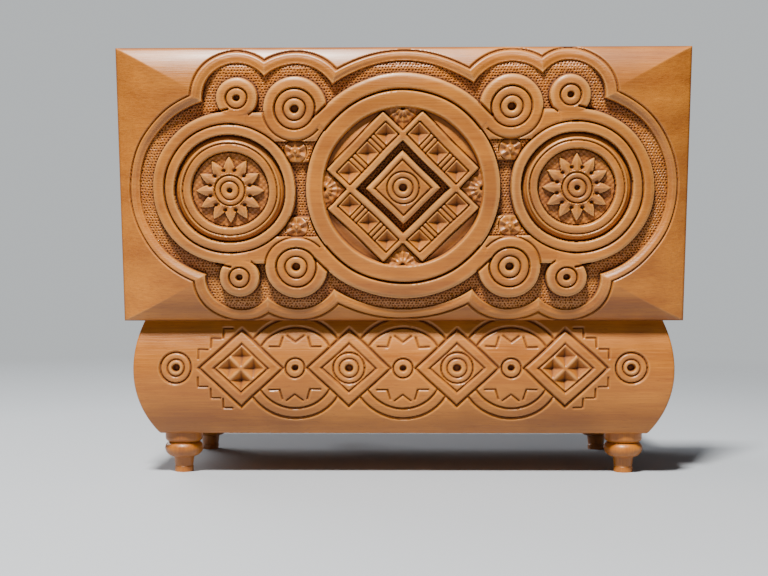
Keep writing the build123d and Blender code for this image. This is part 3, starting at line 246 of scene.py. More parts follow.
def centre_field(x, y, r):
    """Cut depth inside the big centre circle: square frame, chip rows, diamond and boss."""
    a, b = np.abs(x + y) / math.sqrt(2), np.abs(x - y) / math.sqrt(2)
    far, near = np.maximum(a, b), np.minimum(a, b)
    recess, raised, frame_groove = 14.8, 11.6, 8.9
    inner_line, chip_row, outer_line, outer_edge = 17.8, 22.0, 26.2, 30.3
    row_end, pitch, fan_centre = 15.5, 11.8, 35.4
    cut = np.full_like(x, 0.12)

    # Plain lens segments, falling away to the ring, and small fans where the strips cross.
    lens = (far > outer_edge) & (near < inner_line)
    cut = np.where(lens, 0.5 + 1.9 * smooth((r - outer_edge + 0.8) / 5.0), cut)
    fan = (far > inner_line) & (near > inner_line)
    # Turned so that each fan points away from the middle.
    up, across = np.maximum(np.abs(x), np.abs(y)), np.minimum(np.abs(x), np.abs(y))
    fan_angle = np.arctan2(across, fan_centre - up)
    fan_r = np.hypot(across, fan_centre - up)
    petals = 1.3 + 0.6 * np.abs(np.sin(fan_angle * 6.5)) * smooth((fan_r - 1.8) / 1.5)
    petals = petals - bead(fan_r, 1.0, 3.6, 0.6) + 1.2 * smooth((1.3 - fan_r) / 0.8)
    cut = np.where(fan, petals + 0.5 * smooth(fan_r - 5.6), cut)

    strip = (far > recess) & (far < outer_edge) & (near < inner_line)
    cut = np.where(strip, 0.15 * smooth(np.abs(far - 16.3) / 1.5), cut)
    beside_row = (far > inner_line) & (far < outer_line)
    along = near - pitch * np.round(near / pitch)
    chips = sunk_pyramid(far - chip_row, along, 3.3, 3.0)
    chips = np.where(near < 1.5 * pitch, chips, 0)
    slat = near - pitch / 2
    slats = vee(slat, 0.9, 1.0) + vee(np.abs(slat) - 2.1, 0.8, 0.9)
    cut = np.where(beside_row & (near < row_end), 0.35 + chips + slats, cut)
    row_lines = np.maximum(vee(far - inner_line, 0.9, 1.0), vee(far - outer_line, 0.9, 1.0))
    cut = cut + np.where(near < row_end, row_lines, 0)
    cut = cut + np.where(beside_row, vee(near - row_end, 0.9, 1.0), 0)
    cut = cut + np.where(near < inner_line + 0.3, vee(far - outer_edge, 1.0, 1.1), 0)
    cut = cut + np.where(far > inner_line, vee(near - inner_line, 0.9, 1.0), 0)

    # Deep square with its raised diamond and ring boss.
    floor_cut = PIT_DEPTH + punches(x, y)
    pit = floor_cut * smooth((recess + 0.2 - far) / 0.5)
    diamond = 0.9 + vee(far - frame_groove, 1.0, 1.0) + 0.5 * smooth((far - raised + 1.2) / 1.2)
    diamond = np.where(r < 8.0, 0.6 + eye_cuts(r, EYE_HOLE, 4.6, 7.4, 0.9), diamond)
    raised_part = diamond + (floor_cut - diamond) * smooth((far - raised) / 0.4)
    return np.where(far < recess + 0.2, np.minimum(pit, raised_part), cut)


def scalloped_moulding(surface, ground, radii):
    """Height of the moulding round the pattern: a fine outer line, a narrow flat and a slope.

    Outside it lies the plain surface, and inside it the ground.
    """
    across = np.full_like(surface, 9.0)
    for r, ground_r, moulding_r in zip(radii, GROUND_RADII, MOULDING_RADII):
        across = np.minimum(across, (r - ground_r) / (moulding_r - ground_r))
    lip, flat_from, outer_line = 0.1, 0.62, 0.97
    bevel = 1.15 * smooth((flat_from - across) / (flat_from - lip))
    crown = 0.25 * np.sin(math.pi * np.clip((across - flat_from) / 0.34, 0, 1))
    moulding = surface - 0.3 + crown - bevel
    height = ground + (moulding - ground) * smooth(across / lip)
    height = np.where(across > outer_line, surface, height)
    return height - vee((across - outer_line) * 5, 1.0, 0.8)


def corner_flower(x, y):
    """Relief of a small six-petalled flower on a punched ground, about its corner's middle."""
    dx, dy, radius = np.abs(x) - 47.9, np.abs(y) - 17.2, 5.4
    r, angle = np.hypot(dx, dy), np.arctan2(dy, dx)
    petals = 0.9 * np.abs(np.cos(3.0 * angle)) * smooth((r - 1.4) / 1.2)
    heart = 0.9 * smooth((0.8 - r) / 0.5)
    flower = 0.7 * smooth((radius - r) / 0.6) - petals + heart - 0.4
    return np.where(r < radius, flower, -punches(x, y))


def lid_height(x, y):
    """Height of the carved lid above its underside."""
    surface = pillow(np.abs(x), np.abs(y))
    # The pattern's -Y side lies a little low, and lower at the +X end.
    y = y - (0.6 + 1.1 * smooth(x / 70)) * smooth((36 - y) / 36)
    x, y = hand_wobble(x, y)
    xa, ya = np.abs(x), np.abs(y)
    r_centre, r_disc = np.hypot(x, y), np.hypot(xa - DISC_X, ya)
    r_big = np.hypot(xa - BIG[0], ya - BIG[1])
    r_small = np.hypot(xa - SMALL[0], ya - SMALL[1])
    ground = np.minimum(surface - GROUND_DROP, GROUND_HEIGHT)
    height = scalloped_moulding(surface, ground, (r_centre, r_disc, r_big, r_small))

    # Raised bands. The outer bands stop where they curl into the volutes.
    big_angle = math.atan2(BIG[1], BIG[0])
    past_big = xa * math.sin(big_angle) - ya * math.cos(big_angle)
    centre_band = np.maximum(band(r_centre, CENTRE_RING, CENTRE_BAND), past_big)
    small_angle = math.atan2(SMALL[1], SMALL[0] - DISC_X)
    past_small = ya * math.cos(small_angle) - (xa - DISC_X) * math.sin(small_angle)
    disc_band = np.maximum(band(r_disc, DISC_RING, DISC_BAND), past_small - TAIL)
    between = np.maximum.reduce([xa - 77.0, CENTRE_RING + 0.4 - r_centre, DISC_RING - r_disc])
    channel = np.maximum.reduce([21.5 - ya, ya - 34.6, between])
    flower_zone = np.maximum.reduce([12.5 - ya, ya - 22.0, between])
    shapes = (
        (flower_zone, 1.7),
        (channel, 0.4),
        (r_centre - CENTRE_RING, 0.1),
        (centre_band, 0.2),
        (r_disc - DISC_RING, 0.1),
        (disc_band, 0.2),
        (r_big - BIG_BAND, 0.15),
        (r_small - SMALL_BAND, 0.15),
    )
    for inside, lower in shapes:
        top = surface - lower - 0.35 * (1 - smooth(-inside / 1.6))
        height = np.maximum(height, ground + (top - ground) * smooth((-inside + 0.25) / 0.5))

    on_ground = height < ground + 0.1
    height = height - np.where(on_ground, punches(x, y), 0)

    # Cut lines between neighbours.
    height = height - np.where(past_big < 0, vee(r_centre - CENTRE_RING, 1.3, 1.5), 0)
    height = height - np.where(past_small < 0, vee(r_disc - DISC_RING, 1.1, 1.2), 0)
    in_centre_band = (r_centre < CENTRE_BAND) & (past_big < 1.0)
    in_disc_band = (r_disc < DISC_BAND) & (past_small < TAIL)
    near_wedge = np.minimum(channel, flower_zone) < 0.6
    neighbours = (
        (r_disc - DISC_RING, near_wedge),
        (r_big - BIG_BAND, near_wedge & ~in_centre_band),
        (r_small - SMALL_BAND, near_wedge & ~in_disc_band),
    )
    for distance, where in neighbours:
        height = height - np.where(where, vee(distance, 1.0, 0.9), 0)
    notch_big = segment(xa, ya, (34.0, 37.6), (39.6, 32.2))
    notch_small = segment(xa, ya, (84.4, 34.6), (77.6, 35.9))
    height = height - vee(notch_big, 1.4, 1.5) - vee(notch_small, 1.3, 1.5)

    # Small flowers in the corners between the rings.
    height = height + np.where(flower_zone < 0, corner_flower(x, y), 0)

    # Eyes of the volutes, the two discs and the centre.
    big_eye = eye_cuts(r_big, EYE_HOLE, BIG_BEAD, BIG_EYE, 1.1)
    height = height - np.where(r_big < BIG_EYE + EYE_MARGIN, big_eye, 0)
    height = height - np.where(r_small < SMALL_EYE + EYE_MARGIN, small_eye(r_small), 0)
    height = height - np.where(r_disc < DISC_EDGE, rosette(xa - DISC_X, y, r_disc), 0)
    height = height - vee(r_disc - DISC_EDGE + 0.3, 1.2, 0.8)
    field = centre_field(x, y, r_centre)
    wall = smooth((FIELD - r_centre) / 0.5)
    height = height - wall * field - vee(r_centre - FIELD, 0.9, 0.9)
    return np.maximum(height, LOWEST_CUT)


# ------------------------------------------------------------------ the boards' carving


def board_diamond(dx, dz, with_boss):
    """Cut depth of one lozenge, with two outlines and a boss or four chips, and each point's
    distance from its middle as a multiple of its size."""
    outer = np.abs(dx) / DIAMOND[0] + np.abs(dz) / DIAMOND[1]
    inner = np.abs(dx) / INNER_DIAMOND[0] + np.abs(dz) / INNER_DIAMOND[1]
    # Distances from the middle to a side, which turn the fractions into millimetres.
    slant, inner_slant = 13.0, 8.2
    cut = vee((outer - 1) * slant, 1.5, 1.2)
    cut = cut + vee((inner - 1) * inner_slant, 1.3, 1.1)
    if with_boss:
        r = np.hypot(dx, dz)
        inside = 0.35 + np.where(r < 7.9, eye_cuts(r, EYE_HOLE, 4.5, 7.3, 0.8), 0)
    else:
        a, b = (dx + dz) / math.sqrt(2), (dx - dz) / math.sqrt(2)
        half = 4.05
        chips = sunk_pyramid(np.abs(a) - half, np.abs(b) - half, half - 0.4, 3.7)
        inside = chips + 0.1
    return np.where(inner < 1, np.maximum(inside, cut), cut), outer


def chevrons(dx, dz):
    """Three small V cuts along an arc, above and below a dot."""
    cut = np.zeros_like(dx)
    dz = np.abs(dz)
    spread, far_radius, near_radius = 14.0, 15.4, 12.1
    for middle in (54.0, 90.0, 126.0):
        points = []
        for radius, offset in ((far_radius, -spread), (near_radius, 0.0), (far_radius, spread)):
            angle = math.radians(middle + offset)
            points.append((radius * math.cos(angle), radius * math.sin(angle)))
        for a, b in zip(points, points[1:]):
            cut = np.maximum(cut, vee(segment(dx, dz, a, b), 1.1, 0.8))
    return cut


def steps(dx, dz):
    """Stair of small corner cuts beside an end lozenge, on the side where dx is positive."""
    cut = np.zeros_like(dx)
    dz = np.abs(dz)
    leg = 4.3
    for corner in ((19.7, 8.6), (14.0, 13.8), (8.4, 18.4)):
        for end in ((corner[0], corner[1] - leg), (corner[0] - leg, corner[1])):
            cut = np.maximum(cut, vee(segment(dx, dz, corner, end), 1.0, 0.75))
    return cut


def long_board_cut(x, z, crank_hole=False):
    """Cut depth over a long board. crank_hole leaves out the dot that the crank's bush covers."""
    x, z = hand_wobble(x, z)
    dz = z - PATTERN_Z
    xa = np.abs(x)
    cut = np.zeros_like(x)
    lozenge = np.full_like(x, 9.0)
    for centre, with_boss in ((UNIT / 2, True), (1.5 * UNIT, False)):
        diamond, outer = board_diamond(xa - centre, dz, with_boss)
        cut = np.maximum(cut, diamond)
        lozenge = np.minimum(lozenge, outer)
    inner_arc, outer_arc = 18.8, 23.7
    for centre in (0.0, UNIT):
        dx = x if centre == 0 else xa - centre
        r = np.hypot(dx, dz)
        arcs = vee(r - outer_arc, 1.4, 1.1) + vee(r - inner_arc, 1.3, 1.0)
        arcs = arcs + np.where((r > inner_arc - 0.2) & (r < outer_arc - 0.3), 0.1, 0)
        arcs = np.where((np.abs(dx) < UNIT / 2) & (np.abs(dz) > 9.0), arcs, 0)
        marks = np.maximum(arcs, np.where(np.abs(dx) < 16, chevrons(dx, dz), 0))
        cut = np.where(lozenge > CLEAR_OF_DIAMOND, np.maximum(cut, marks), cut)
        dot = np.where(r < 5.2, dot_cut(r), 0)
        if crank_hole and centre == UNIT:
            dot = np.where(x < 0, 0, dot)
        cut = np.maximum(cut, dot)
    stairs = np.where(lozenge > CLEAR_OF_DIAMOND, steps(xa - 1.5 * UNIT, dz), 0)
    return np.maximum.reduce([cut, stairs, ring_boss(np.hypot(xa - BACK_RING_X, dz))])


def front_board_cut(x, z):
    """Cut depth over the front board, which the crank goes through."""
    return long_board_cut(x, z, crank_hole=True)


def end_board_cut(y, z):
    """Cut depth over an end board: one lozenge between two ring bosses."""
    y, z = hand_wobble(y + END_SHIFT, z)
    y = y - END_SHIFT
    dz = z - PATTERN_Z
    diamond, outer = board_diamond(y, dz, with_boss=True)
    rings = ring_boss(np.hypot(np.abs(y) - END_RING_Y, dz))
    stairs = np.where(outer > CLEAR_OF_DIAMOND, steps(np.abs(y) - 1.0, dz), 0)
    return np.maximum.reduce([diamond, rings, stairs])


# ------------------------------------------------------------------ meshes


def cavity_of(height, step):
    """How far each point lies under its surroundings, near and wide, for stain and painted shade in the cuts and
    for wear and painted highlight on the ridges.
    """
    cavity = np.zeros_like(height)
    for reach, weight in ((0.75, 1.2), (2.4, 0.5)):
        mean = height.copy()
        count = int(round(reach / step))
        for axis in (0, 1):
            shifts = range(-count, count + 1)
            mean = sum(np.roll(mean, shift, axis=axis) for shift in shifts) / len(shifts)
        cavity += weight * np.minimum(mean - height, CAVITY_CAP)
    return cavity


def grid_quads(rows, columns):
    """Faces of a grid of rows by columns points."""
    index = np.arange(rows * columns).reshape(rows, columns)
    corners = (index[:-1, :-1], index[:-1, 1:], index[1:, 1:], index[1:, :-1])
    return np.stack([corner.ravel() for corner in corners], axis=1)


def mesh_object(name, points, faces, cavity=None):
    """A mesh object from points in millimetres, with the optional cavity value of each point."""
    mesh = bpy.data.meshes.new(name)
    mesh.from_pydata((points * MM).tolist(), [], faces)
    mesh.update()
    if cavity is not None:
        values = np.zeros(len(points), dtype=np.float32)
        values[: len(cavity)] = cavity
        layer = mesh.attributes.new("cavity", "FLOAT", "POINT")
        layer.data.foreach_set("value", values)
    obj = bpy.data.objects.new(name, mesh)
    bpy.context.scene.collection.objects.link(obj)
    return obj


def relief_solid(name, relief, corners, cavity, flipped=False):
    """A closed solid: a relief in front, four corners behind it, and sides between them.

    The corners go round from the one behind the first point, along the first row.
    """
    rows, columns = cavity.shape
    index = np.arange(rows * columns).reshape(rows, columns)
    a, b, c, d = range(rows * columns, rows * columns + 4)
    faces = grid_quads(rows, columns).tolist()
    faces.append([d, c, b, a])
    faces.append([a, b] + index[0, ::-1].tolist())
    faces.append([b, c] + index[::-1, -1].tolist())
    faces.append([c, d] + index[-1, :].tolist())
    faces.append([d, a] + index[:, 0].tolist())
    if flipped:
        faces = [face[::-1] for face in faces]
    return mesh_object(name, np.concatenate([relief, corners]), faces, cavity.ravel())


def box_cutter(low, high):
    """A temporary closed box, for cutting."""
    limits = np.array([low, high], dtype=float)
    corners = [[limits[(n >> axis) & 1, axis] for axis in range(3)] for n in range(8)]
    faces = [(0, 2, 3, 1), (4, 5, 7, 6), (0, 1, 5, 4), (2, 6, 7, 3), (0, 4, 6, 2), (1, 3, 7, 5)]
    return mesh_object("cutter", np.array(corners), faces)


def rod_cutter(start, axis, radius, length, sides=48):
    """A temporary closed cylinder along axis x, y or z, for cutting."""
    turn = 2 * math.pi * np.arange(sides) / sides
    ring = np.stack([np.zeros(sides), np.cos(turn), np.sin(turn)], axis=1) * radius
    ends = [ring, ring + np.array([length, 0, 0])]
    points = np.roll(np.concatenate(ends), axis, axis=1) + np.array(start)
    faces = [(n, (n + 1) % sides, (n + 1) % sides + sides, n + sides) for n in range(sides)]
    faces += [tuple(reversed(range(sides))), tuple(range(sides, 2 * sides))]
    cutter = mesh_object("cutter", points, faces)
    bm = bmesh.new()
    bm.from_mesh(cutter.data)
    bmesh.ops.recalc_face_normals(bm, faces=bm.faces)
    bm.to_mesh(cutter.data)
    bm.free()
    return cutter


def carve(obj, cutters):
    """Cuts the closed cutters out of obj and removes them."""
    for cutter in cutters:
        cut = obj.modifiers.new("cut", "BOOLEAN")
        cut.operation = "DIFFERENCE"
        cut.solver = "MANIFOLD"
        cut.object = cutter
    depsgraph = bpy.context.evaluated_depsgraph_get()
    result = bpy.data.meshes.new_from_object(obj.evaluated_get(depsgraph))
    result.name = obj.name
    obj.modifiers.clear()
    old = obj.data
    obj.data = result
    bpy.data.meshes.remove(old)
    for cutter in cutters:
        mesh = cutter.data
        bpy.data.objects.remove(cutter)
        bpy.data.meshes.remove(mesh)


def shade(obj, degrees=40.0):
    """Smooth shading, with edges sharper than the angle left crisp."""
    obj.data.shade_smooth()
    obj.data.set_sharp_from_angle(angle=math.radians(degrees))


def turn_open(obj):
    """Turns a mesh built in the lid's closed place to the open place it rests in."""
    pivot = Vector((0, HINGE_Y * MM, HINGE_Z * MM))
    turn = Matrix.Rotation(-math.radians(OPEN_ANGLE), 4, "X")
    obj.data.transform(Matrix.Translation(pivot) @ turn @ Matrix.Translation(-pivot))


def make_lid():
    """The carved lid: a fine relief on top, flat sides, and a pocketed underside."""
    columns = int(round(2 * LID_HALF_LENGTH / LID_STEP)) + 1
    rows = int(round(2 * LID_HALF_DEPTH / LID_STEP)) + 1
    x, y = np.meshgrid(
        np.linspace(-LID_HALF_LENGTH, LID_HALF_LENGTH, columns),
        np.linspace(-LID_HALF_DEPTH, LID_HALF_DEPTH, rows),
    )
    height = lid_height(x, y)
    cavity = cavity_of(height, LID_STEP)
    top = np.stack([x.ravel(), y.ravel(), LID_Z + height.ravel()], axis=1)
    signs = [(-1, -1), (1, -1), (1, 1), (-1, 1)]
    under = np.array([(a * LID_HALF_LENGTH, b * LID_HALF_DEPTH, LID_Z) for a, b in signs])
    lid = relief_solid("carved_lid", top, under, cavity)
    low, high = (-POCKET_X, -POCKET_Y, LID_Z - PROUD), (POCKET_X, POCKET_Y, LID_Z + POCKET_DEPTH)
    cutters = [box_cutter(low, high)]
    for side in (-1, 1):
        leaf_from = side * HINGE_X - LEAF_LENGTH / 2
        low = (leaf_from, HINGE_Y - LEAF_REACH, LID_Z - PROUD)
        high = (leaf_from + LEAF_LENGTH, HINGE_Y, HINGE_Z + LEAF_FACE)
        cutters.append(box_cutter(low, high))
        start = (leaf_from - KNUCKLE_END_ROOM, HINGE_Y, HINGE_Z)
        cutters.append(rod_cutter(start, 0, KNUCKLE_ROOM, LEAF_LENGTH + 2 * KNUCKLE_END_ROOM))
    carve(lid, cutters)
    shade(lid)
    turn_open(lid)
    return lid


def outer_face(fraction):
    """Inset, height and slope of the curved face, bottom at 0 to rim at 1, and its whole length."""
    low_turn = -math.asin((BULGE_Z - BODY_BOTTOM) / LOWER_RADIUS)
    high_turn = math.asin((RIM_Z - BULGE_Z) / UPPER_RADIUS)
    low_arc, high_arc = -low_turn * LOWER_RADIUS, high_turn * UPPER_RADIUS
    run = fraction * (low_arc + high_arc) - low_arc
    radius = np.where(run < 0, LOWER_RADIUS, UPPER_RADIUS)
    turn = run / radius
    inset = radius * (1 - np.cos(turn))
    return inset, BULGE_Z + radius * np.sin(turn), turn, low_arc + high_arc


def make_board(name, half_length, half_depth, cut_depth):
    """A board with its carved face towards +Y and mitred ends, and the cutter for its rabbet."""
    rows = int(round(FACE_RUN / BOARD_STEP)) + 1
    columns = int(round(2 * half_length / BOARD_STEP)) + 1
    inset, z, turn, arc = outer_face(np.linspace(0, 1, rows))
    along = np.linspace(-1, 1, columns)
    # Columns are evenly spaced in the middle and lean to follow the mitre near the ends.
    straight = along * half_length
    lean = smooth((np.abs(straight) - half_length + MITRE_LEAN) / MITRE_LEAN)
    x = straight[None, :] - np.sign(along)[None, :] * lean[None, :] * inset[:, None]
    z_grid = np.repeat(z[:, None], columns, axis=1)
    cut = cut_depth(x, z_grid)
    cavity = cavity_of(-cut, BOARD_STEP)
    run = np.linspace(0, arc, rows)
    soft_rim = EDGE_SOFTENING * (1 - smooth(np.minimum(run, arc - run) / 0.9))
    to_mitre = (1 - np.abs(along)) * half_length
    soft_mitre = 0.5 * EDGE_SOFTENING * (1 - smooth(to_mitre / 0.5))
    softening = np.maximum(soft_rim[:, None], soft_mitre[None, :])
    y = half_depth - inset[:, None] - cut * np.cos(turn)[:, None] - softening
    z_cut = z_grid - cut * np.sin(turn)[:, None]
    # The end columns lie on the mitre planes, and those next to them are drawn in after them.
    gap = half_length - half_depth
    for end in (0, -1):
        excess = np.abs(x[:, end]) - (y[:, end] + gap)
        near = smooth((np.abs(along) - 0.95) / 0.05) * (np.sign(along) == np.sign(along[end]))
        x = x - np.sign(along[end]) * excess[:, None] * near[None, :]
    outer = np.stack([x.ravel(), y.ravel(), z_cut.ravel()], axis=1)
    inner_y = half_depth - WALL_DEPTH
    inner_x = inner_y + gap
    inner = [(-inner_x, inner_y, BODY_BOTTOM), (inner_x, inner_y, BODY_BOTTOM)]
    inner += [(inner_x, inner_y, RIM_Z), (-inner_x, inner_y, RIM_Z)]
    board = relief_solid(name, outer, np.array(inner), cavity, flipped=True)
    low = (-inner_x - RABBET, -inner_y, BODY_BOTTOM - PROUD)
    high = (inner_x + RABBET, inner_y + RABBET, BODY_BOTTOM + FLOOR_THICKNESS)
    return board, [box_cutter(low, high)]


def make_back_board():
    """The back board, with room for the hinges' leaves in its rim."""
    board, cutters = make_board("carved_back_board", HALF_LENGTH, HALF_DEPTH, long_board_cut)
    for side in (-1, 1):
        leaf_from = side * HINGE_X - LEAF_LENGTH / 2
        low = (leaf_from, HINGE_Y - LEAF_REACH, HINGE_Z - LEAF_FACE)
        high = (leaf_from + LEAF_LENGTH, HALF_DEPTH + PROUD, RIM_Z + PROUD)
        cutters.append(box_cutter(low, high))
    carve(board, cutters)
    shade(board)
    return board


def make_front_board():
    """The front board, with the hole for the crank's bush."""
    board, cutters = make_board("carved_front_board", HALF_LENGTH, HALF_DEPTH, front_board_cut)
    crank_x, _, crank_z = (metres / MM for metres in joints["crank_turn"]["pos_m"])
    start = (-crank_x, HALF_DEPTH - WALL_DEPTH - PROUD, crank_z)
    cutters.append(rod_cutter(start, 1, BUSH_RADIUS, WALL_DEPTH + 2 * PROUD))
    carve(board, cutters)
    shade(board)
    board.data.transform(Matrix.Rotation(math.pi, 4, "Z"))
    return board


def make_end_board(name, turn):
    """An end board, turned about Z to its side."""
    board, cutters = make_board(name, HALF_DEPTH, HALF_LENGTH, end_board_cut)
    carve(board, cutters)
    shade(board)
    board.data.transform(Matrix.Rotation(turn, 4, "Z"))
    return board


def make_felt(name, low, high):
    """A thin felt sheet between two corners: a slightly uneven face, soft edges, a flat back."""
    size = np.array(high) - np.array(low)
    columns, rows = (int(n) for n in np.round(size[:2] / FELT_STEP) + 1)
    x, y = np.meshgrid(np.linspace(low[0], high[0], columns), np.linspace(low[1], high[1], rows))
    edge = np.minimum.reduce([x - low[0], high[0] - x, y - low[1], high[1] - y])
    uneven = np.sin(0.13 * x + 0.5) * np.sin(0.11 * y + 0.3) + 0.5 * np.sin(0.31 * x - 0.27 * y)
    drop = 0.1 + 0.05 * uneven + 0.6 * (1 - np.sqrt(1 - (1 - np.clip(edge / 0.9, 0, 1)) ** 2))
    top = np.stack([x.ravel(), y.ravel(), (high[2] - drop).ravel()], axis=1)
    back = top.copy()
    back[:, 2] = low[2]
    base = rows * columns
    quads = grid_quads(rows, columns)
    index = np.arange(base).reshape(rows, columns)
    rim = np.concatenate([index[0, :-1], index[:-1, -1], index[-1, :0:-1], index[:0:-1, 0]])
    after = np.roll(rim, -1)
    walls = np.stack([rim, rim + base, after + base, after], axis=1)[:, ::-1]
    faces = quads.tolist() + (quads[:, ::-1] + base).tolist() + walls.tolist()
    felt = mesh_object(name, np.concatenate([top, back]), faces)
    shade(felt, 60.0)
    return felt


# ------------------------------------------------------------------ materials


def hold(node, **values):
    """Sets single input values of a node. Underscores stand for spaces."""
    for key, value in values.items():
        node.inputs[key.replace("_", " ")].default_value = value


def feed(tree, node, **sockets):
    """Links sockets to a node's inputs. Underscores stand for spaces."""
    for key, socket in sockets.items():
        tree.links.new(socket, node.inputs[key.replace("_", " ")])


def new_material(name):
    """A node material with its Principled shader, and object coordinates in metres."""
    material = bpy.data.materials.new(name)
    material.use_nodes = True
    tree = material.node_tree
    shader = tree.nodes["Principled BSDF"]
    coords = tree.nodes.new("ShaderNodeTexCoord").outputs["Object"]
    return material, tree, shader, coords


def stretched_noise(tree, coords, scale, detail, roughness):
    """Noise whose features are scale times finer than a metre along each axis."""
    stretch = tree.nodes.new("ShaderNodeVectorMath")
    stretch.operation = "MULTIPLY"
    stretch.inputs[1].default_value = scale
    tree.links.new(coords, stretch.inputs[0])
    noise = tree.nodes.new("ShaderNodeTexNoise")
    hold(noise, Scale=1.0, Detail=detail, Roughness=roughness)
    feed(tree, noise, Vector=stretch.outputs[0])
    return noise.outputs["Fac"]


def mapped(tree, value, low, high, to_low=0.0, to_high=1.0):
    """value moved from one range to another, and held inside it."""
    made = tree.nodes.new("ShaderNodeMapRange")
    hold(made, From_Min=low, From_Max=high, To_Min=to_low, To_Max=to_high)
    feed(tree, made, Value=value)
    return made.outputs["Result"]


def added(tree, first, second):
    """The sum of two sockets."""
    made = tree.nodes.new("ShaderNodeMath")
    made.operation = "ADD"
    tree.links.new(first, made.inputs[0])
    tree.links.new(second, made.inputs[1])
    return made.outputs[0]


def blended(tree, factor, first, second):
    """Two colours blended by the factor's socket. Each may be a socket or a colour."""
    made = tree.nodes.new("ShaderNodeMix")
    made.data_type = "RGBA"
    tree.links.new(factor, made.inputs[0])
    for socket, colour in ((made.inputs[6], first), (made.inputs[7], second)):
        if isinstance(colour, tuple):
            socket.default_value = colour
        else:
            tree.links.new(colour, socket)
    return made.outputs[2]


def bumped(tree, shader, height, distance):
    """Bends the shader's normal by a height of up to the distance in metres."""
    made = tree.nodes.new("ShaderNodeBump")
    hold(made, Strength=1.0, Distance=distance)
    feed(tree, made, Height=height)
    feed(tree, shader, Normal=made.outputs["Normal"])


def along_axis(axis, along, across):
    """Noise scale for a grain that runs along an axis."""
    return tuple(along if n == axis else across for n in range(3))


def even(scale):
    """Noise scale that is the same along every axis."""
    return (scale, scale, scale)


def paler_for_wear_and_highlight(colour):
    """A paler version of a colour, as on handled edges, also used as painted highlight on ridges."""
    return tuple(0.6 * c + 0.4 * w for c, w in zip(colour, (0.92, 0.60, 0.24, 1.0)))


def wood(name, dark, light, stain_and_shade, axis=0):
    """Oiled wood with fine grain along an axis, stained and darkened with painted shade in its cuts, and worn pale
    and lightened with painted highlight on its ridges.
    """
    material, tree, shader, coords = new_material(name)
    bands = stretched_noise(tree, coords, along_axis(axis, 9, 120), 4, 0.6)
    grain = stretched_noise(tree, coords, along_axis(axis, 55, 1500), 5, 0.65)
    pores = stretched_noise(tree, coords, along_axis(axis, 260, 3600), 2, 0.5)
    patches = stretched_noise(tree, coords, even(28), 3, 0.6)
    cavity = tree.nodes.new("ShaderNodeAttribute")
    cavity.attribute_name = "cavity"
    cavity = cavity.outputs["Fac"]
    tone = added(
        tree, mapped(tree, bands, 0.34, 0.66, 0.0, 0.55), mapped(tree, grain, 0.3, 0.7, 0.0, 0.45)
    )
    colour = blended(tree, tone, dark, light)
    colour = blended(tree, mapped(tree, pores, 0.36, 0.28, 0.0, 0.45), colour, stain_and_shade)
    colour = blended(tree, mapped(tree, patches, 0.62, 0.4, 0.0, 0.25), colour, stain_and_shade)
    # Darker towards the stain colour the deeper a point lies in a cut: partly real stain, partly painted shade.
    colour = blended(tree, mapped(tree, cavity, 0.05, 1.0, 0.0, 0.88), colour, stain_and_shade)
    # Paler on the ridges: partly wear, partly painted highlight.
    colour = blended(tree, mapped(tree, cavity, -0.1, -0.8, 0.0, 0.4), colour, paler_for_wear_and_highlight(light))
    # The cuts are duller than the oiled faces, and keep no oil.
    grain_roughness = mapped(tree, grain, 0.3, 0.7, 0.36, 0.52)
    cut_roughness = mapped(tree, cavity, 0.04, 0.4, 0.0, 0.3)
    oil = mapped(tree, cavity, 0.04, 0.3, OIL_COAT, 0.0)
    feed(tree, shader, Base_Color=colour, Coat_Weight=oil)
    feed(tree, shader, Roughness=added(tree, grain_roughness, cut_roughness))
    hold(shader, Coat_Roughness=0.24, Specular_IOR_Level=0.45)
    bumped(tree, shader, grain, 0.00012)
    return material


def metal(name, base, tarnish, roughness, brushed=(260, 260, 260)):
    """Metal with dull patches and fine brush marks."""
    material, tree, shader, coords = new_material(name)
    patches = stretched_noise(tree, coords, even(140), 4, 0.6)
    marks = stretched_noise(tree, coords, brushed, 3, 0.6)
    colour = blended(tree, mapped(tree, patches, 0.45, 0.7, 0.0, 0.7), base, tarnish)
    gloss = mapped(tree, marks, 0.3, 0.7, roughness - 0.08, roughness + 0.12)
    feed(tree, shader, Base_Color=colour, Roughness=gloss)
    hold(shader, Metallic=1.0)
    bumped(tree, shader, marks, 0.00003)
    return material


def enamel(name, base, chipped):
    """Cast iron under thin hammered enamel."""
    material, tree, shader, coords = new_material(name)
    cast = stretched_noise(tree, coords, even(700), 3, 0.5)
    patches = stretched_noise(tree, coords, even(90), 4, 0.6)
    colour = blended(tree, mapped(tree, patches, 0.4, 0.7), base, chipped)
    feed(tree, shader, Base_Color=colour, Roughness=mapped(tree, cast, 0.3, 0.7, 0.38, 0.55))
    hold(shader, Metallic=0.35)
    bumped(tree, shader, cast, 0.0002)
    return material


def clear_sheet(name):
    """Clear acrylic sheet with faint handling marks."""
    material, tree, shader, coords = new_material(name)
    marks = stretched_noise(tree, coords, (60, 420, 60), 4, 0.6)
    smudges = stretched_noise(tree, coords, even(45), 2, 0.5)
    tint = blended(tree, smudges, (0.97, 1.0, 0.99, 1), (0.93, 0.98, 0.97, 1))
    feed(tree, shader, Base_Color=tint, Roughness=mapped(tree, marks, 0.55, 0.75, 0.03, 0.12))
    hold(shader, Transmission_Weight=1.0, IOR=1.49)
    # Rays to the lights pass straight through, so that what is below is lit.
    clear = tree.nodes.new("ShaderNodeBsdfTransparent")
    mix = tree.nodes.new("ShaderNodeMixShader")
    tree.links.new(tree.nodes.new("ShaderNodeLightPath").outputs["Is Shadow Ray"], mix.inputs[0])
    tree.links.new(shader.outputs[0], mix.inputs[1])
    tree.links.new(clear.outputs[0], mix.inputs[2])
    feed(tree, tree.nodes["Material Output"], Surface=mix.outputs[0])
    return material


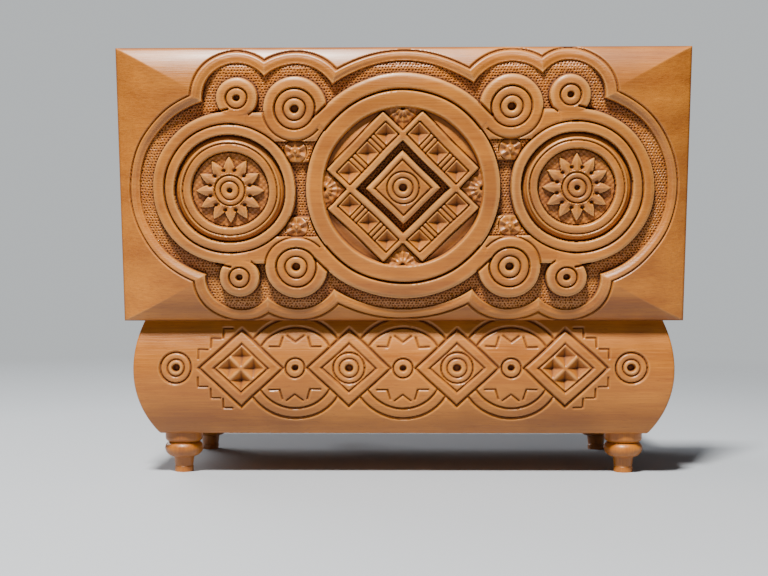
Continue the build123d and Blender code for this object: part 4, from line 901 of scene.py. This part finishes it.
def felt_cloth(name, deep, bright):
    """Pressed wool felt: short fibres that lie every way, with a soft sheen."""
    material, tree, shader, coords = new_material(name)
    fibres = stretched_noise(tree, coords, even(2600), 4, 0.7)
    clumps = stretched_noise(tree, coords, even(420), 3, 0.6)
    pressed = stretched_noise(tree, coords, even(40), 2, 0.5)
    tone = added(
        tree, mapped(tree, fibres, 0.3, 0.7, 0.0, 0.5), mapped(tree, clumps, 0.3, 0.7, 0.0, 0.5)
    )
    colour = blended(tree, tone, deep, bright)
    colour = blended(tree, mapped(tree, pressed, 0.4, 0.65, 0.0, 0.35), colour, deep)
    feed(tree, shader, Base_Color=colour)
    hold(shader, Roughness=0.95, Sheen_Weight=0.35, Sheen_Roughness=0.5, Specular_IOR_Level=0.15)
    bumped(tree, shader, tone, 0.0003)
    return material


def plain_floor(name, colour):
    """Pale matte floor that fades out far from the object."""
    material, tree, shader, coords = new_material(name)
    unevenness = stretched_noise(tree, coords, even(3), 2, 0.5)
    paler = tuple(min(1.0, 1.03 * c) for c in colour)
    reach = tree.nodes.new("ShaderNodeVectorMath")
    reach.operation = "LENGTH"
    tree.links.new(coords, reach.inputs[0])
    fade = mapped(tree, reach.outputs["Value"], *FLOOR_FADE, 1.0, 0.0)
    feed(tree, shader, Base_Color=blended(tree, unevenness, colour, paler), Alpha=fade)
    hold(shader, Roughness=0.85)
    return material


OIL_COAT = 0.2
FLOOR_FADE = (0.3, 0.9)
# The stain colour also serves as the painted shade in the cuts.
HONEY = {
    "dark": (0.28, 0.075, 0.005, 1),
    "light": (0.51, 0.176, 0.013, 1),
    "stain_and_shade": (0.055, 0.012, 0.004, 1),
}
WALNUT = {
    "dark": (0.11, 0.045, 0.020, 1),
    "light": (0.21, 0.095, 0.042, 1),
    "stain_and_shade": (0.03, 0.012, 0.006, 1),
}
honey = wood("honey_wood", **HONEY)
honey_ends = wood("honey_wood_ends", **HONEY, axis=1)
turned = wood("honey_wood_turned", **HONEY, axis=2)
walnut = wood("turned_walnut", **WALNUT, axis=1)
brass = metal("aged_brass", (0.78, 0.57, 0.25, 1), (0.42, 0.27, 0.11, 1), 0.28)
cylinder_brass = metal(
    "cylinder_brass", (0.83, 0.64, 0.31, 1), (0.62, 0.43, 0.2, 1), 0.2, (90, 1500, 90)
)
steel = metal(
    "brushed_steel", (0.58, 0.58, 0.60, 1), (0.36, 0.35, 0.35, 1), 0.3, (120, 1800, 120)
)
iron = enamel("enamelled_iron", (0.035, 0.04, 0.045, 1), (0.10, 0.10, 0.11, 1))
acrylic = clear_sheet("clear_acrylic")
felt = felt_cloth("wine_felt", (0.075, 0.006, 0.012, 1), (0.26, 0.022, 0.040, 1))

# ------------------------------------------------------------------ pieces


def place(piece, material, body, slot, *replaced):
    """Finishes one piece: its material, its body and the CAD nodes it stands for."""
    piece.data.materials.clear()
    piece.data.materials.append(material)
    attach(piece, body)
    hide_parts(*replaced)
    return piece


place(make_lid(), honey, "lid", "wood_honey", "lid_panel")
place(make_back_board(), honey, "case", "wood_honey", "back_board")
place(make_front_board(), honey, "case", "wood_honey", "front_board")
right_end = make_end_board("carved_right_end", -math.pi / 2)
place(right_end, honey_ends, "case", "wood_honey", "right_end_board")
left_end = make_end_board("carved_left_end", math.pi / 2)
place(left_end, honey_ends, "case", "wood_honey", "left_end_board")

tray_low, tray_high = (np.array(corner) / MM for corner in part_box("tray_lining"))
tray_felt = make_felt("tray_felt", tray_low, tray_high)
place(tray_felt, felt, "case", "felt", "tray_lining")

LINING_GAP, LINING_THICKNESS = 0.2, 1.5
lining_x, lining_y = POCKET_X - LINING_GAP, POCKET_Y - LINING_GAP
lining_top = LID_Z + POCKET_DEPTH
lining_low = (-lining_x, -lining_y, -lining_top)
lining_high = (lining_x, lining_y, LINING_THICKNESS - lining_top)
# Made face up, then turned over into the lid's pocket.
lid_felt = make_felt("lid_felt", lining_low, lining_high)
lid_felt.data.transform(Matrix.Rotation(math.pi, 4, "X"))
turn_open(lid_felt)
place(lid_felt, felt, "lid", "felt", "lid_lining")

# The rest of the CAD nodes show as they are, each with its material.
SLOT_LOOKS = {
    "wood_honey": honey,
    "glass_clear": acrylic,
    "brass": brass,
    "steel": steel,
    "iron": iron,
    "wood_dark": walnut,
    "felt": felt,
}
OWN_LOOKS = {"cylinder": cylinder_brass, "divider": honey_ends, "comb": steel}
node_slots = {entry["node"]: entry["material_slot"] for entry in frame["record"]["subparts"]}
for node_name, node in frame["nodes"].items():
    look = OWN_LOOKS.get(node_name, SLOT_LOOKS[node_slots[node_name]])
    if node_name.startswith("foot_"):
        look = turned
    node.data.materials.clear()
    node.data.materials.append(look)
    shade(node, 30.0)

# ------------------------------------------------------------------ floor, light and camera

FLOOR_HALF = 1.5
FLOOR_COLOUR = (0.37, 0.405, 0.46, 1)
floor_corners = np.array([(-1, -1, 0), (1, -1, 0), (1, 1, 0), (-1, 1, 0)])
floor = mesh_object("floor", floor_corners * FLOOR_HALF / MM, [(0, 1, 2, 3)])
floor.data.materials.append(plain_floor("pale_floor", FLOOR_COLOUR))

# The backdrop looks pale, and gives less light than that so that the cuts keep their shadows.
AMBIENT, BACKDROP = 0.16, 0.9
world = bpy.data.worlds.new("studio")
world.use_nodes = True
world_tree = world.node_tree
backdrop = world_tree.nodes["Background"]
hold(backdrop, Color=(0.655, 0.685, 0.70, 1))
ray = world_tree.nodes.new("ShaderNodeLightPath").outputs["Is Camera Ray"]
feed(world_tree, backdrop, Strength=mapped(world_tree, ray, 0.0, 1.0, AMBIENT, BACKDROP))
bpy.context.scene.world = world


def soft_light(name, place_m, target_m, size, watts, colour):
    """A square soft box at a place, turned to face a target."""
    data = bpy.data.lights.new(name, "AREA")
    data.shape = "SQUARE"
    data.size = size
    data.energy = watts
    data.color = colour
    light = bpy.data.objects.new(name, data)
    bpy.context.scene.collection.objects.link(light)
    light.location = place_m
    aim = Vector(target_m) - Vector(place_m)
    light.rotation_euler = aim.to_track_quat("-Z", "Y").to_euler()


MIDDLE = (0, 0, 0.09)
soft_light("key", (0.2, 0.8, 1.3), MIDDLE, 0.2, 66, (1.0, 0.95, 0.86))
soft_light("side", (0.9, -0.9, 0.8), MIDDLE, 0.9, 15, (1.0, 0.98, 0.95))

CAMERA_PLACE = (0.00083, 0.58745, 0.08861)
CAMERA_AIM = (0.01484, -0.99989, -0.0027)
CAMERA_ROLL = -0.00087
CAMERA_LENS, SENSOR_WIDTH, NEAREST = 54.1, 36.0, 0.01
camera_data = bpy.data.cameras.new("camera")
camera_data.lens = CAMERA_LENS
camera_data.sensor_width = SENSOR_WIDTH
camera_data.clip_start = NEAREST
camera = bpy.data.objects.new("camera", camera_data)
bpy.context.scene.collection.objects.link(camera)
camera.location = CAMERA_PLACE
aim = Vector(CAMERA_AIM).to_track_quat("-Z", "Y").to_matrix()
camera.rotation_euler = (aim @ Matrix.Rotation(CAMERA_ROLL, 3, "Z")).to_euler()
bpy.context.scene.camera = camera
